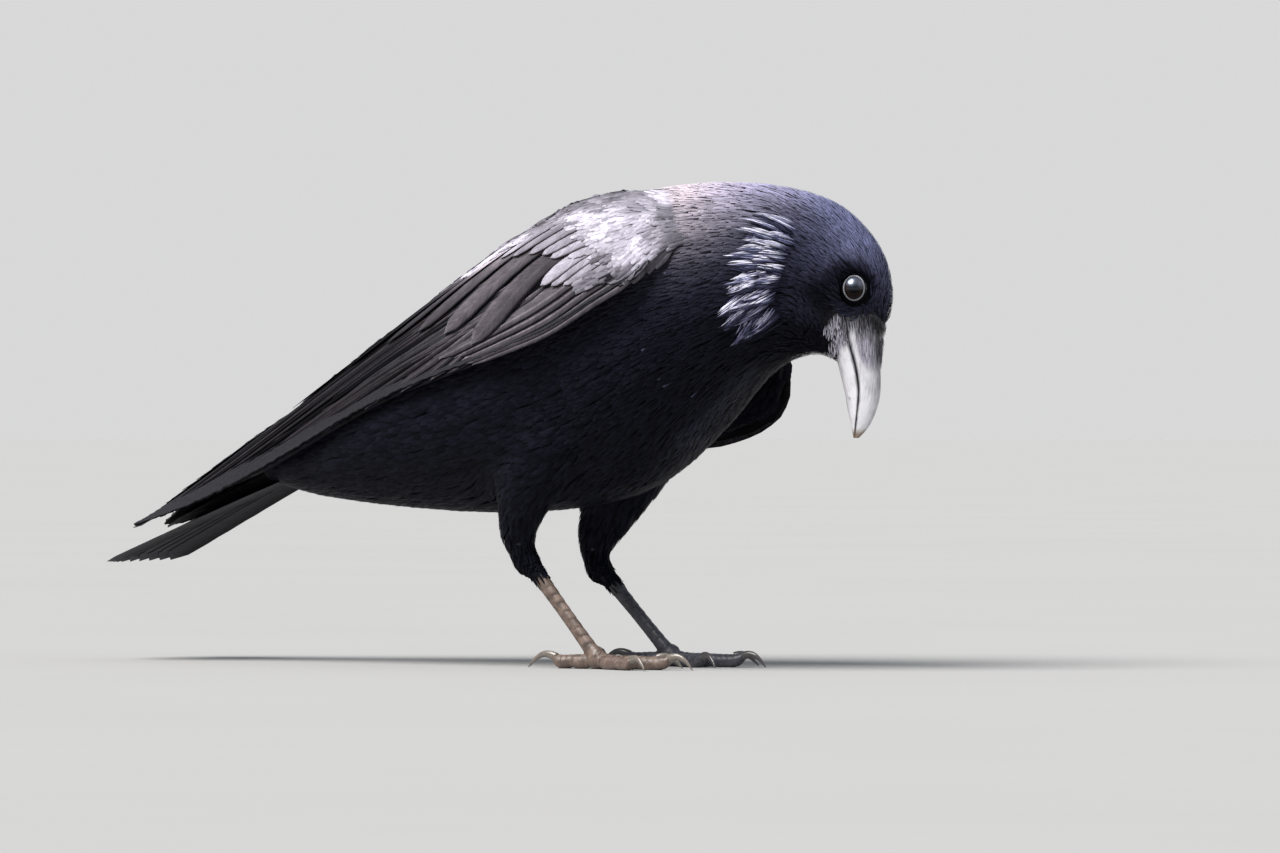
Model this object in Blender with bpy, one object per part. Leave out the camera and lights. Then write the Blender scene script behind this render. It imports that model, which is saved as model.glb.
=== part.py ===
"""A carrion crow at life size, leaning forward over its feet and looking straight down.

+X is ahead of the bird, +Y is its left and +Z is up. The floor is z = 0, and the origin
is under the middle of the bird's bounding box. Tables are in millimetres.
"""

import math

import bmesh
import bpy
from mathutils import Vector
from mathutils.bvhtree import BVHTree

MM = 0.001
GAP = 0.35  # between neighbouring pieces

# Trunk, neck and head as one form, from the tail coverts to the base of the bill.
# Each station: the back's (x, z), the belly's (x, z) and the half width between them.
BODY = [
    ((-178, 93), (-180, 82), 14),
    ((-152, 110), (-157, 76), 26),
    ((-125, 129.5), (-128, 72), 37),
    ((-100, 148), (-98, 69.5), 45),
    ((-72, 167), (-66, 68), 51),
    ((-45, 184), (-34, 69), 55),
    ((-18, 198.5), (-4, 73), 56),
    ((10, 208), (20, 83), 55),
    ((35, 212), (42, 101), 51),
    ((58, 212.5), (60, 118), 44),
    ((78, 211), (75, 130), 37),
    ((95, 207), (85, 135.5), 29.5),
    ((107, 201.3), (91, 137), 24.5),
    ((116.8, 192.3), (95, 137.5), 21.5),
    ((124, 181.5), (98, 137), 19.5),
    ((127.8, 169), (100.5, 136), 16.5),
    ((128, 157.5), (102.5, 134.5), 12.8),
    ((125, 146.5), (104.5, 132), 9.8),
]
RINGS_PER_STATION = 3
RING_POINTS = 24
SOFT_NODES = ("rump", "tail_coverts")  # nearly all feather, where the rest is flesh beneath
FULLNESS = 0.88  # under 1 makes a cross-section boxier than an ellipse

# The face narrows towards the bill: below FACE_TOP over FACE_HEIGHT, and ahead of FACE_BACK.
FACE_TOP, FACE_HEIGHT = 173, 26
FACE_BACK, FACE_DEPTH = 90, 12
FACE_TAPER = 0.4

# The neck turns the head to the bird's left between these two places along the body.
TURN_FROM, TURN_TO = 40, 100
HEAD_TURN = math.radians(20)
TURN_STEPS = 24

# The bill hangs from the face. Each station: the distance below BILL_TOP, then how far the
# culmen, the line of the mouth and the chin edge stand ahead of BILL_X, and the half width.
BILL_X, BILL_TOP = 113.5, 145
BILL = [
    (-12, 11.0, -7.6, -13.0, 11.0),
    (-5, 11.4, -5.4, -13.2, 10.4),
    (0, 10.7, -3.8, -12.5, 9.8),
    (6, 9.4, -2.2, -10.6, 9.0),
    (12, 9.0, -0.6, -9.1, 8.2),
    (18, 9.3, 0.4, -7.6, 7.3),
    (25, 9.1, 0.8, -6.0, 6.2),
    (31, 7.8, 0.1, -5.0, 4.9),
    (37, 5.3, -0.8, -3.6, 3.3),
    (41, 2.6, -1.4, -2.9, 2.0),
    (44, -0.3, -1.8, -2.4, 0.9),
]
BILL_POINTS = 12

EYE_X, EYE_Z, EYE_OUT = 113.6, 166, 14.5
EYE_RADIUS = 6.2

# A folded wing from the wrist to the tip: its upper edge, its lower edge (y is outwards),
# how far the wing bulges between them, and its thickness in the middle.
WING = [
    ((30, 26, 205), (49, 49, 184), 2, 5),
    ((12, 21, 209), (41, 58, 170), 6, 6),
    ((-18, 13, 204), (22, 62, 158.5), 8, 6.5),
    ((-48, 6, 191), (2, 64, 147), 10, 6.5),
    ((-75, 2.5, 175.5), (-20, 63.5, 139), 11, 6),
    ((-105, 1.8, 156.5), (-48, 60, 130), 11, 6),
    ((-140, 1.8, 132.5), (-82, 53, 120), 9, 5),
    ((-175, 2, 110), (-120, 43, 106), 7, 4.5),
    ((-208, 3, 89), (-165, 32, 87), 5, 3.5),
    ((-238, 6, 69), (-210, 22, 70.5), 3, 2.5),
    ((-250, 12, 61.5), (-246, 18, 61), 0.5, 1.5),
]
# The left wing hangs: its wrist has slid down the side of the breast.
WING_HANGING = [
    ((38, 47, 172), (56.5, 50, 146), 2, 5),
    ((19, 45, 181), (54, 58, 127.5), 6, 6),
    ((-12, 41, 181), (43, 62, 111), 8, 6.5),
    ((-43, 36, 172), (17, 64, 101), 10, 6.5),
    ((-75, 27, 159), (-14, 63.5, 98), 11, 6),
    ((-107, 17, 146), (-48, 60, 97), 11, 6),
    ((-141, 9, 128), (-85, 53, 97), 9, 5),
    ((-175, 5, 108), (-124, 43, 93), 7, 4.5),
    ((-208, 4, 88.5), (-167, 32, 82), 5, 3.5),
    ((-238, 6, 69), (-211, 22, 69.5), 3, 2.5),
    ((-250, 12, 61.5), (-246, 18, 61), 0.5, 1.5),
]
WING_EDGE = 1.2
WING_POINTS = 9
WING_RINGS_PER_STATION = 2
WING_LIFT = 4.0  # the least height of the wing's outer face over the body
WINGS = {"right": WING, "left": WING_HANGING}
# Nodes of a wing, by where along its table each begins and ends.
WING_NODES = {
    "shoulder": (0, 2.6),
    "coverts": (2.6, 5.0),
    "secondaries": (5.0, 7.0),
    "primaries": (7.0, 10),
}

# The tail: distance back from its root, half width, and roof of its cross-section.
TAIL_ROOT, TAIL_TIP = (-166, 82), (-263, 41)
TAIL = [(0, 17, 2), (20, 22, 2.5), (45, 26, 2.5), (75, 29.5, 2.5), (95, 31, 2.5), (103, 27, 2)]
TAIL_THICKNESS = 3.5
TAIL_POINTS = 8
TAIL_LENGTH = math.dist(TAIL_ROOT, TAIL_TIP)

# Each leg: the feathered thigh's centres and radii, down to the heel, and the foot.
LEGS = {
    "right": {
        "thigh": [((-12, 33, 108), 24), ((-26, 32, 86), 18), ((-32.5, 30, 71), 12.5),
                  ((-35.5, 28, 61), 9.8), ((-35.5, 26.5, 54), 7.2), ((-33, 25.5, 48.5), 4.2)],
        "foot": (3, 25, 4.6),
        "toe_in": 2,
    },
    "left": {
        "thigh": [((-8, 33, 104), 24), ((-18, 32, 82), 18), ((-24, 30, 67), 12.5),
                  ((-28, 28, 57), 9.8), ((-28.5, 26.5, 50), 7.2), ((-26, 25.5, 44.5), 4.2)],
        "foot": (11, 26, 4.6),
        "toe_in": 4,
    },
}
TARSUS_DEPTH, TARSUS_WIDTH = 3.1, 2.4
TARSUS_SHAPE = [(0, 1.3), (0.12, 1.12), (0.5, 0.92), (0.85, 0.98), (1, 1.2)]
# Each toe: its heading from straight ahead, positive outwards, its length and its radius.
TOES = {
    "inner": (-25, 27, 2.7),
    "middle": (3, 37, 2.9),
    "outer": (30, 29, 2.6),
    "hind": (184, 22, 3.0),
}
# Along a toe: the radius as a share and the height of its centre as a share of its radius.
# Where that height is the lesser, a pad lies flat on the floor.
TOE_SHAPE = [(0, 1.1, 1.5), (0.18, 0.93, 1.15), (0.3, 1.08, 0.97), (0.44, 1.1, 0.97),
             (0.57, 0.9, 1.12), (0.7, 1.03, 0.93), (0.84, 1.02, 0.93), (0.94, 0.88, 1.15),
             (1, 0.62, 1.5)]
TOE_POINTS = 10
KNUCKLE_RADIUS, KNUCKLE_TALL = 4.2, 1.25
CLAW_LENGTH = {"inner": 9.5, "middle": 10.5, "outer": 9, "hind": 13}
CLAW_RADIUS, CLAW_TIP = 1.7, 0.35
CLAW_STEPS = 5
CLAW_POINTS = 6

SIDES = {"right": -1, "left": 1}

FEATHER = (0.012, 0.012, 0.016)
FINISHES = {
    "plumage": (FEATHER, 0.5),
    "soft_plumage": (FEATHER, 0.55),
    "flight_feathers": ((0.018, 0.017, 0.02), 0.42),
    "bill_horn": ((0.16, 0.155, 0.18), 0.35),
    "eye_glass": ((0.012, 0.008, 0.006), 0.08),
    "leg_scutes": ((0.06, 0.052, 0.05), 0.45),
    "claw_horn": ((0.05, 0.045, 0.042), 0.3),
}


def clear_scene():
    for old in list(bpy.data.objects):
        bpy.data.objects.remove(old)
    for name in ("crow", "cutters"):
        bpy.context.scene.collection.children.link(bpy.data.collections.new(name))


def finish(name):
    """The named material, made once."""
    found = bpy.data.materials.get(name)
    if found:
        return found
    made = bpy.data.materials.new(name)
    made.use_nodes = True
    shader = made.node_tree.nodes["Principled BSDF"]
    colour, roughness = FINISHES[name]
    shader.inputs["Base Color"].default_value = (*colour, 1)
    shader.inputs["Roughness"].default_value = roughness
    return made


def catmull(before, start, end, after, share):
    """One number on the smooth curve between start and end."""
    slope_in, slope_out = (end - before) / 2, (after - start) / 2
    square, cube = share**2, share**3
    return (
        (2 * cube - 3 * square + 1) * start
        + (cube - 2 * square + share) * slope_in
        + (3 * square - 2 * cube) * end
        + (cube - square) * slope_out
    )


def flat(row):
    """A table's row as one list of numbers."""
    return [number for item in row for number in (item if isinstance(item, tuple) else (item,))]


def read(table, place):
    """The table's row at a place between its rows, on a smooth curve through them."""
    last = len(table) - 1
    start = min(max(int(place), 0), last - 1)
    rows = [flat(table[min(max(start + k, 0), last)]) for k in (-1, 0, 1, 2)]
    return [catmull(*numbers, place - start) for numbers in zip(*rows)]


def steps(first, last, per_unit):
    count = max(1, round((last - first) * per_unit))
    return [first + (last - first) * i / count for i in range(count + 1)]


def turned(point):
    """The point after the neck has turned the head. Lengths along the neck are kept."""
    ahead = point.x / MM
    if ahead <= TURN_FROM:
        return point
    reach = min(ahead, TURN_TO) - TURN_FROM
    centre = Vector((TURN_FROM, 0))
    heading = 0.0
    for i in range(TURN_STEPS):
        share = (i + 0.5) / TURN_STEPS * reach / (TURN_TO - TURN_FROM)
        heading = HEAD_TURN * share * share * (3 - 2 * share)
        centre += Vector((math.cos(heading), math.sin(heading))) * reach / TURN_STEPS
    share = reach / (TURN_TO - TURN_FROM)
    heading = HEAD_TURN * share * share * (3 - 2 * share)
    direction = Vector((math.cos(heading), math.sin(heading)))
    sideways = Vector((-direction.y, direction.x))
    centre += direction * max(ahead - TURN_TO, 0)
    flat_place = centre * MM + sideways * point.y
    return Vector((flat_place.x, flat_place.y, point.z))


def solid(name, rings, material, collection="crow"):
    """A closed mesh through rings of points, with a cap at each end."""
    shape = bmesh.new()
    loops = [[shape.verts.new(point) for point in ring] for ring in rings]
    for first, second in zip(loops, loops[1:]):
        for i in range(len(first)):
            j = (i + 1) % len(first)
            shape.faces.new((first[i], first[j], second[j], second[i]))
    shape.faces.new(loops[0][::-1])
    shape.faces.new(loops[-1])
    bmesh.ops.recalc_face_normals(shape, faces=shape.faces)
    mesh = bpy.data.meshes.new(name)
    shape.to_mesh(mesh)
    shape.free()
    return placed(name, mesh, material, collection)


def placed(name, mesh, material, collection="crow"):
    """An object of this mesh, in its collection and with its finish."""
    made = bpy.data.objects.new(name, mesh)
    bpy.data.collections[collection].objects.link(made)
    if material:
        mesh.materials.clear()
        mesh.materials.append(finish(material))
    mesh.shade_smooth()
    if collection == "cutters":
        made.hide_render = True
        made.display_type = "WIRE"
    return made


def swollen(source, name):
    """A cutter: source's shape, larger by the gap on every side."""
    cutter = placed(name, source.data.copy(), None, "cutters")
    grow = cutter.modifiers.new("grow", "DISPLACE")
    grow.strength = GAP * MM
    grow.mid_level = 0
    return cutter


def cut(target, cutter):
    boolean = target.modifiers.new("cut by " + cutter.name, "BOOLEAN")
    boolean.operation = "DIFFERENCE"
    boolean.object = cutter


# ---- trunk, neck and head -------------------------------------------------------------


def eased(share):
    share = min(max(share, 0), 1)
    return share * share * (3 - 2 * share)


def face_taper(ahead, height):
    """What the face's width is multiplied by there."""
    down = eased((FACE_TOP - height) / FACE_HEIGHT)
    return 1 - FACE_TAPER * down * eased((ahead - FACE_BACK) / FACE_DEPTH)


def body_ring(place):
    back_x, back_z, belly_x, belly_z, half_width = read(BODY, place)
    ring = []
    for i in range(RING_POINTS):
        angle = 2 * math.pi * i / RING_POINTS
        down = (1 - math.cos(angle)) / 2
        sideways = math.copysign(abs(math.sin(angle)) ** FULLNESS, math.sin(angle))
        ahead = back_x + (belly_x - back_x) * down
        height = back_z + (belly_z - back_z) * down
        aside = -half_width * sideways * face_taper(ahead, height)
        ring.append(turned(Vector((ahead, aside, height)) * MM))
    return ring


def parted(whole, name, sides, material):
    """The part of whole on the inner side of each plane (point, outward normal)."""
    shape = bmesh.new()
    shape.from_mesh(whole.data)
    for point, normal in sides:
        normal = Vector(normal).normalized()
        inner = Vector(point) * MM - normal * GAP * MM / 2
        bmesh.ops.bisect_plane(
            shape,
            geom=shape.verts[:] + shape.edges[:] + shape.faces[:],
            plane_co=inner,
            plane_no=normal,
            clear_outer=True,
        )
        rim = [edge for edge in shape.edges if edge.is_boundary]
        bmesh.ops.holes_fill(shape, edges=rim, sides=0)
    mesh = bpy.data.meshes.new(name)
    shape.to_mesh(mesh)
    shape.free()
    return placed(name, mesh, material)


def opposite(side):
    return side[0], [-number for number in side[1]]


def make_body():
    """The trunk, neck and head, and a cutter in the shape of all three."""
    rings = [body_ring(place) for place in steps(0, len(BODY) - 1, RINGS_PER_STATION)]
    whole = solid("body_whole", rings, None, "cutters")
    neck_base = (turned(Vector((50, 0, 160)) * MM) / MM, (0.97, 0.05, 0.22))
    nape = (turned(Vector((98, 0, 172)) * MM) / MM, (0.80, 0.28, -0.53))
    loin = ((-52, 0, 125), (-0.95, 0, 0.3))
    vent = ((-132, 0, 100), (-0.95, 0, 0.3))
    parts = {
        "tail_coverts": [opposite(vent)],
        "rump": [opposite(loin), vent],
        "trunk": [neck_base, loin],
        "neck": [opposite(neck_base), nape],
        "head": [opposite(nape)],
    }
    nodes = {
        name: parted(whole, name, sides, "soft_plumage" if name in SOFT_NODES else "plumage")
        for name, sides in parts.items()
    }
    return nodes, whole, swollen(whole, "body_cutter")


def make_eyes(head):
    for side, sign in SIDES.items():
        centre = turned(Vector((EYE_X, sign * EYE_OUT, EYE_Z)) * MM)
        for name, radius, collection in (
            (f"eye_{side}", EYE_RADIUS, "crow"),
            (f"eye_cutter_{side}", EYE_RADIUS + GAP, "cutters"),
        ):
            ball = bmesh.new()
            bmesh.ops.create_uvsphere(ball, u_segments=14, v_segments=8, radius=radius * MM)
            bmesh.ops.translate(ball, verts=ball.verts, vec=centre)
            mesh = bpy.data.meshes.new(name)
            ball.to_mesh(mesh)
            ball.free()
            made = placed(name, mesh, "eye_glass", collection)
        cut(head, made)


def bill_ring(place, upper):
    """A section of one mandible: an arch over the mouth line, or a keel under it."""
    below, culmen, mouth, chin, half_width = read(BILL, place)
    edge = mouth + (GAP / 2 if upper else -GAP / 2)
    rise = culmen - edge if upper else chin - edge
    width = half_width if upper else half_width * 0.93
    ring = []
    for i in range(BILL_POINTS + 1):
        angle = math.pi * i / BILL_POINTS
        ring.append((width * math.cos(angle), edge + rise * math.sin(angle) ** 0.8))
    return [
        turned(Vector((BILL_X + ahead, side, BILL_TOP - below)) * MM) for side, ahead in ring
    ]


def make_bill(body_cutter):
    for name, upper in (("upper_mandible", True), ("lower_mandible", False)):
        rings = [bill_ring(place, upper) for place in steps(0, len(BILL) - 1, 1)]
        cut(solid(name, rings, "bill_horn"), body_cutter)


# ---- wings and tail -------------------------------------------------------------------


def lifted(point, tree):
    """The point, moved out until it stands WING_LIFT over the body."""
    surface, normal, _, _ = tree.find_nearest(point)
    height = (point - surface).dot(normal)
    return point + normal * max(WING_LIFT * MM - height, 0)


def wing_ring(table, place, tree):
    """A section of a folded wing, with y outwards: a lens hugging the body."""
    row = read(table, place)
    upper, lower, bulge, thickness = Vector(row[0:3]), Vector(row[3:6]), row[6], row[7]
    ahead = read(table, min(place + 0.1, len(table) - 1))
    behind = read(table, max(place - 0.1, 0))
    axis = Vector(ahead[0:3]) + Vector(ahead[3:6]) - Vector(behind[0:3]) - Vector(behind[3:6])
    outwards = (upper - lower).cross(axis).normalized()
    if outwards.y < 0:
        outwards = -outwards
    outer, inner = [], []
    for i in range(WING_POINTS + 1):
        share = i / WING_POINTS
        crown = math.sin(math.pi * share)
        point = (lower.lerp(upper, share) + outwards * bulge * crown) * MM
        point = lifted(point, tree)
        outer.append(point)
        depth = WING_EDGE + (thickness - WING_EDGE) * math.sqrt(max(crown, 0))
        inner.append(point - outwards * depth * MM)
    return outer + inner[::-1]


def mirrored(point, sign):
    return Vector((point.x, sign * point.y, point.z))


def make_wings(whole, body_cutter):
    bpy.context.view_layer.update()
    shape = bmesh.new()
    shape.from_mesh(whole.data)
    bmesh.ops.transform(shape, matrix=whole.matrix_world, verts=shape.verts)
    tree = BVHTree.FromBMesh(shape)
    shape.free()
    for side, sign in SIDES.items():
        for part, (first, last) in WING_NODES.items():
            inset = 0.016 if first > 0 else 0
            places = steps(first + inset, last - inset / 2, WING_RINGS_PER_STATION)
            rings = [wing_ring(WINGS[side], place, tree) for place in places]
            rings = [[mirrored(point, sign) for point in ring] for ring in rings]
            cut(solid(f"wing_{side}_{part}", rings, "flight_feathers"), body_cutter)


def make_tail(body_cutter):
    slope = Vector((TAIL_TIP[0] - TAIL_ROOT[0], 0, TAIL_TIP[1] - TAIL_ROOT[1])).normalized()
    up = Vector((-slope.z, 0, slope.x))
    if up.z < 0:
        up = -up
    root = Vector((TAIL_ROOT[0], 0, TAIL_ROOT[1]))
    rings = []
    for place in steps(0, len(TAIL) - 1, 2):
        back, half_width, roof = read(TAIL, place)
        upper, under = [], []
        for i in range(TAIL_POINTS + 1):
            share = 2 * i / TAIL_POINTS - 1
            centre = root + slope * back + Vector((0, half_width * share, 0))
            centre += up * roof * (1 - share * share)
            half = up * TAIL_THICKNESS / 2 * (1 - 0.6 * share * share)
            upper.append((centre + half) * MM)
            under.append((centre - half) * MM)
        rings.append(upper + under[::-1])
    cut(solid("tail", rings, "flight_feathers"), body_cutter)


# ---- legs -----------------------------------------------------------------------------


def tube_ring(centre, tangent, radius_ahead, radius_side, count):
    """An oval round centre, square to tangent, flattened where it would pass the floor."""
    side = tangent.cross(Vector((0, 0, 1)))
    if side.length < 0.05:
        side = Vector((0, 1, 0))
    side.normalize()
    ahead = side.cross(tangent).normalized()
    ring = []
    for i in range(count):
        angle = 2 * math.pi * i / count
        point = centre + side * radius_side * math.cos(angle) + ahead * radius_ahead * math.sin(angle)
        point.z = max(point.z, 0)
        ring.append(point * MM)
    return ring


def tangents(points):
    last = len(points) - 1
    return [(points[min(i + 1, last)] - points[max(i - 1, 0)]).normalized() for i in range(last + 1)]


def make_thigh(name, stations, sign, body_cutter):
    rows = [read(stations, place) for place in steps(0, len(stations) - 1, 2)]
    centres = [Vector((x, sign * y, z)) for x, y, z, _ in rows]
    rings = [
        tube_ring(centre, tangent, row[3], row[3] * 0.82, 14)
        for centre, tangent, row in zip(centres, tangents(centres), rows)
    ]
    cut(solid(name, rings, "plumage"), body_cutter)


def make_tarsus(name, heel, foot):
    direction = (foot - heel).normalized()
    top, bottom = heel + direction * (GAP + 1.2), foot - direction
    rings = []
    for place in steps(0, len(TARSUS_SHAPE) - 1, 2):
        share, swell = read(TARSUS_SHAPE, place)
        centre = top.lerp(bottom, share)
        rings.append(
            tube_ring(centre, direction, TARSUS_DEPTH * swell, TARSUS_WIDTH * swell, 10)
        )
    return solid(name, rings, "leg_scutes")


def make_toe(side, toe, base, heading):
    """A toe from the middle of the knuckle: returns it with its end and direction."""
    _, length, radius = TOES[toe]
    direction = Vector((math.cos(heading), math.sin(heading), 0))
    start = Vector((base.x, base.y, 0))
    centres = [
        start + direction * length * along + Vector((0, 0, radius * height))
        for along, _, height in TOE_SHAPE
    ]
    rings = [
        tube_ring(centre, direction, radius * share, radius * share, TOE_POINTS)
        for centre, (_, share, _) in zip(centres, TOE_SHAPE)
    ]
    made = solid(f"toe_{side}_{toe}", rings, "leg_scutes")
    return made, centres[-1] + direction * GAP * 3, direction


def make_claw(side, toe, start, direction):
    """A claw that arches forward from the toe's end and comes down to the floor."""
    length = CLAW_LENGTH[toe]
    drop = start.z - CLAW_TIP / 2
    centres, radii = [], []
    for i in range(CLAW_STEPS + 1):
        share = i / CLAW_STEPS
        arch = math.sin(math.pi * share) * length * 0.16
        centres.append(
            start + direction * length * share + Vector((0, 0, arch - drop * share * share))
        )
        radii.append(CLAW_RADIUS * (1 - share) ** 0.7 + CLAW_TIP)
    rings = [
        tube_ring(centre, tangent, radius, radius * 0.8, CLAW_POINTS)
        for centre, tangent, radius in zip(centres, tangents(centres), radii)
    ]
    solid(f"claw_{side}_{toe}", rings, "claw_horn")


def make_foot(side, sign, base, toe_in):
    """The knuckle where the toes meet, then each toe with its claw. Returns the cutters."""
    ball = bmesh.new()
    bmesh.ops.create_uvsphere(ball, u_segments=12, v_segments=8, radius=KNUCKLE_RADIUS * MM)
    bmesh.ops.scale(ball, vec=(1, 1, KNUCKLE_TALL), verts=ball.verts)
    bmesh.ops.translate(ball, verts=ball.verts, vec=base * MM)
    for vertex in ball.verts:
        vertex.co.z = max(vertex.co.z, 0)
    mesh = bpy.data.meshes.new(f"knuckle_{side}")
    ball.to_mesh(mesh)
    ball.free()
    knuckle = swollen(placed(f"knuckle_{side}", mesh, "leg_scutes"), f"knuckle_cutter_{side}")
    toes, cutters = {}, {}
    for toe, (outwards, _, _) in TOES.items():
        heading = math.radians(sign * (outwards - toe_in))
        toes[toe], end, direction = make_toe(side, toe, base, heading)
        make_claw(side, toe, end, direction)
        cutters[toe] = swollen(toes[toe], f"toe_cutter_{side}_{toe}")
        cut(toes[toe], knuckle)
    for toe, neighbours in (("inner", ("middle",)), ("outer", ("middle", "inner"))):
        for neighbour in neighbours:
            cut(toes[toe], cutters[neighbour])
    return [knuckle, cutters["hind"]]


def make_legs(body_cutter):
    for side, sign in SIDES.items():
        leg = LEGS[side]
        make_thigh(f"thigh_{side}", leg["thigh"], sign, body_cutter)
        heel = mirrored(Vector(leg["thigh"][-1][0]), sign)
        foot = mirrored(Vector(leg["foot"]), sign)
        tarsus = make_tarsus(f"tarsus_{side}", heel, foot)
        for cutter in make_foot(side, sign, foot, leg["toe_in"]):
            cut(tarsus, cutter)


def centre_on_floor():
    """Hangs everything from one empty, and moves that so the origin is under the middle."""
    stand = bpy.data.objects.new("crow_origin", None)
    bpy.data.collections["crow"].objects.link(stand)
    bpy.context.view_layer.update()
    graph = bpy.context.evaluated_depsgraph_get()
    corners = []
    for made in bpy.data.collections["crow"].objects:
        if made.type == "MESH":
            corners += [Vector(corner) for corner in made.evaluated_get(graph).bound_box]
    for axis in (0, 1):
        values = [corner[axis] for corner in corners]
        stand.location[axis] = -(min(values) + max(values)) / 2
    for name in ("crow", "cutters"):
        for made in bpy.data.collections[name].objects:
            if made is not stand:
                made.parent = stand


def main():
    clear_scene()
    nodes, whole, body_cutter = make_body()
    make_eyes(nodes["head"])
    make_bill(body_cutter)
    make_wings(whole, body_cutter)
    make_tail(body_cutter)
    make_legs(body_cutter)
    centre_on_floor()


main()
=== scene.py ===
"""The looks of a carrion crow, built round its fixed solids: skin, plumage, wings, bill, eyes, feet.

Places are in millimetres in the bird's own frame: X ahead, Y to its left, Z up, before the neck
turns the head. in_row() takes them to the row frame, where the solids are.
"""

import math

import bmesh
import bpy
import numpy as np
from mathutils import Matrix, Vector, noise
from mathutils.bvhtree import BVHTree


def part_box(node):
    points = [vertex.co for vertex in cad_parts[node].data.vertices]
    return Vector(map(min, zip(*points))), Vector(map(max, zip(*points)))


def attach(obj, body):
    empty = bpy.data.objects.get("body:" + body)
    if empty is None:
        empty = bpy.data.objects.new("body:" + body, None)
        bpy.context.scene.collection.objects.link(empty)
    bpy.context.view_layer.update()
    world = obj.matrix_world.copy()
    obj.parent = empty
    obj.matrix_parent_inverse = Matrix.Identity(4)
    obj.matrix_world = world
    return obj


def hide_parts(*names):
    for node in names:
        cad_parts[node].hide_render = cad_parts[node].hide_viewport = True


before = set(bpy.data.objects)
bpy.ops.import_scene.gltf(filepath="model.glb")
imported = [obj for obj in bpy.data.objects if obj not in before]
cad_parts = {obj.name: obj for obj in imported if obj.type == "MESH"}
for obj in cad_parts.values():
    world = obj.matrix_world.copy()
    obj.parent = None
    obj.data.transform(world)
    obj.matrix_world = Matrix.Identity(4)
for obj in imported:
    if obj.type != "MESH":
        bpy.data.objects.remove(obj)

MM = 0.001
UP = Vector((0, 0, 1))
SIDES = {"right": -1, "left": 1}
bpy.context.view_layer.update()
chance = np.random.default_rng(20)

# ---- the bird's frame ----

FLESH = ["head", "neck", "trunk", "rump", "tail_coverts", "thigh_right", "thigh_left"]
TOES = ["inner", "middle", "outer", "hind"]
WING_PARTS = ["shoulder", "coverts", "secondaries", "primaries"]

KNUCKLE_RIGHT = Vector((3, -25, 0))
EYE_AHEAD, EYE_HEIGHT = 113.6, 166
TURN_FROM, TURN_TO, TURN_STEPS = 40, 100, 16
HEAD_TURN = math.radians(20)


def wing_nodes(side):
    return [f"wing_{side}_{part}" for part in WING_PARTS]


def middle(node):
    """The middle of a solid's box, in millimetres."""
    low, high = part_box(node)
    return (low + high) / 2 / MM


origin = middle("knuckle_right")
origin.z = 0
origin -= KNUCKLE_RIGHT

face_centre = (middle("eye_right") + middle("eye_left")) / 2
face_left = (middle("eye_left") - middle("eye_right")).normalized()
face_ahead = face_left.cross(UP)


def face_point(ahead, left, height):
    """A place on the face, whose turned frame is measured from between the eyes."""
    aside = face_ahead * (ahead - EYE_AHEAD) + face_left * left
    return face_centre + aside + UP * (height - EYE_HEIGHT)


def in_row(ahead, left, height):
    """The place in the row frame, in millimetres, once the neck has turned the head."""
    if ahead > TURN_TO:
        return face_point(ahead, left, height)
    reach = max(ahead - TURN_FROM, 0)
    centre = Vector((min(ahead, TURN_FROM), 0, height))
    for i in range(TURN_STEPS):
        heading = HEAD_TURN * eased((i + 0.5) / TURN_STEPS * reach / (TURN_TO - TURN_FROM))
        centre += Vector((math.cos(heading), math.sin(heading), 0)) * reach / TURN_STEPS
    heading = HEAD_TURN * eased(reach / (TURN_TO - TURN_FROM))
    return origin + centre + Vector((-math.sin(heading), math.cos(heading), 0)) * left


def eased(share):
    """0 to 1 along a smooth step."""
    share = np.clip(share, 0, 1)
    return share * share * (3 - 2 * share)


def catmull(table, place):
    """A table's row at a place between its rows, on a smooth curve through them."""
    table = np.asarray(table, float)
    last = len(table) - 1
    start = int(min(max(math.floor(place), 0), last - 1))
    before, first, second, after = (table[min(max(start + k, 0), last)] for k in (-1, 0, 1, 2))
    t = place - start
    return (
        (2 * t**3 - 3 * t**2 + 1) * first
        + (t**3 - 2 * t**2 + t) * (second - before) / 2
        + (3 * t**2 - 2 * t**3) * second
        + (t**3 - t**2) * (after - first) / 2
    )


def unit(vectors):
    """Each vector at a length of one."""
    return vectors / np.maximum(np.linalg.norm(vectors, axis=-1, keepdims=True), 1e-9)


def flattened(ways, normals):
    """The part of each way that runs along the surface, at a length of one."""
    return unit(ways - normals * (ways * normals).sum(1)[:, None])


def walked(points):
    """How far along a line each of its points lies."""
    return np.concatenate([[0], np.cumsum(np.linalg.norm(np.diff(points, axis=0), axis=1))])


def bell(place, at, width):
    """1 at one place, fading to both sides over about this width."""
    return np.exp(-(((place - at) / width) ** 2))


def glow(along, across, at_along, long, at_across, wide):
    """A soft spot: 1 in its middle, fading over about this length and width."""
    return np.exp(-((along - at_along) / long) ** 2 - ((across - at_across) / wide) ** 2)


# ---- finishes ----


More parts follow.
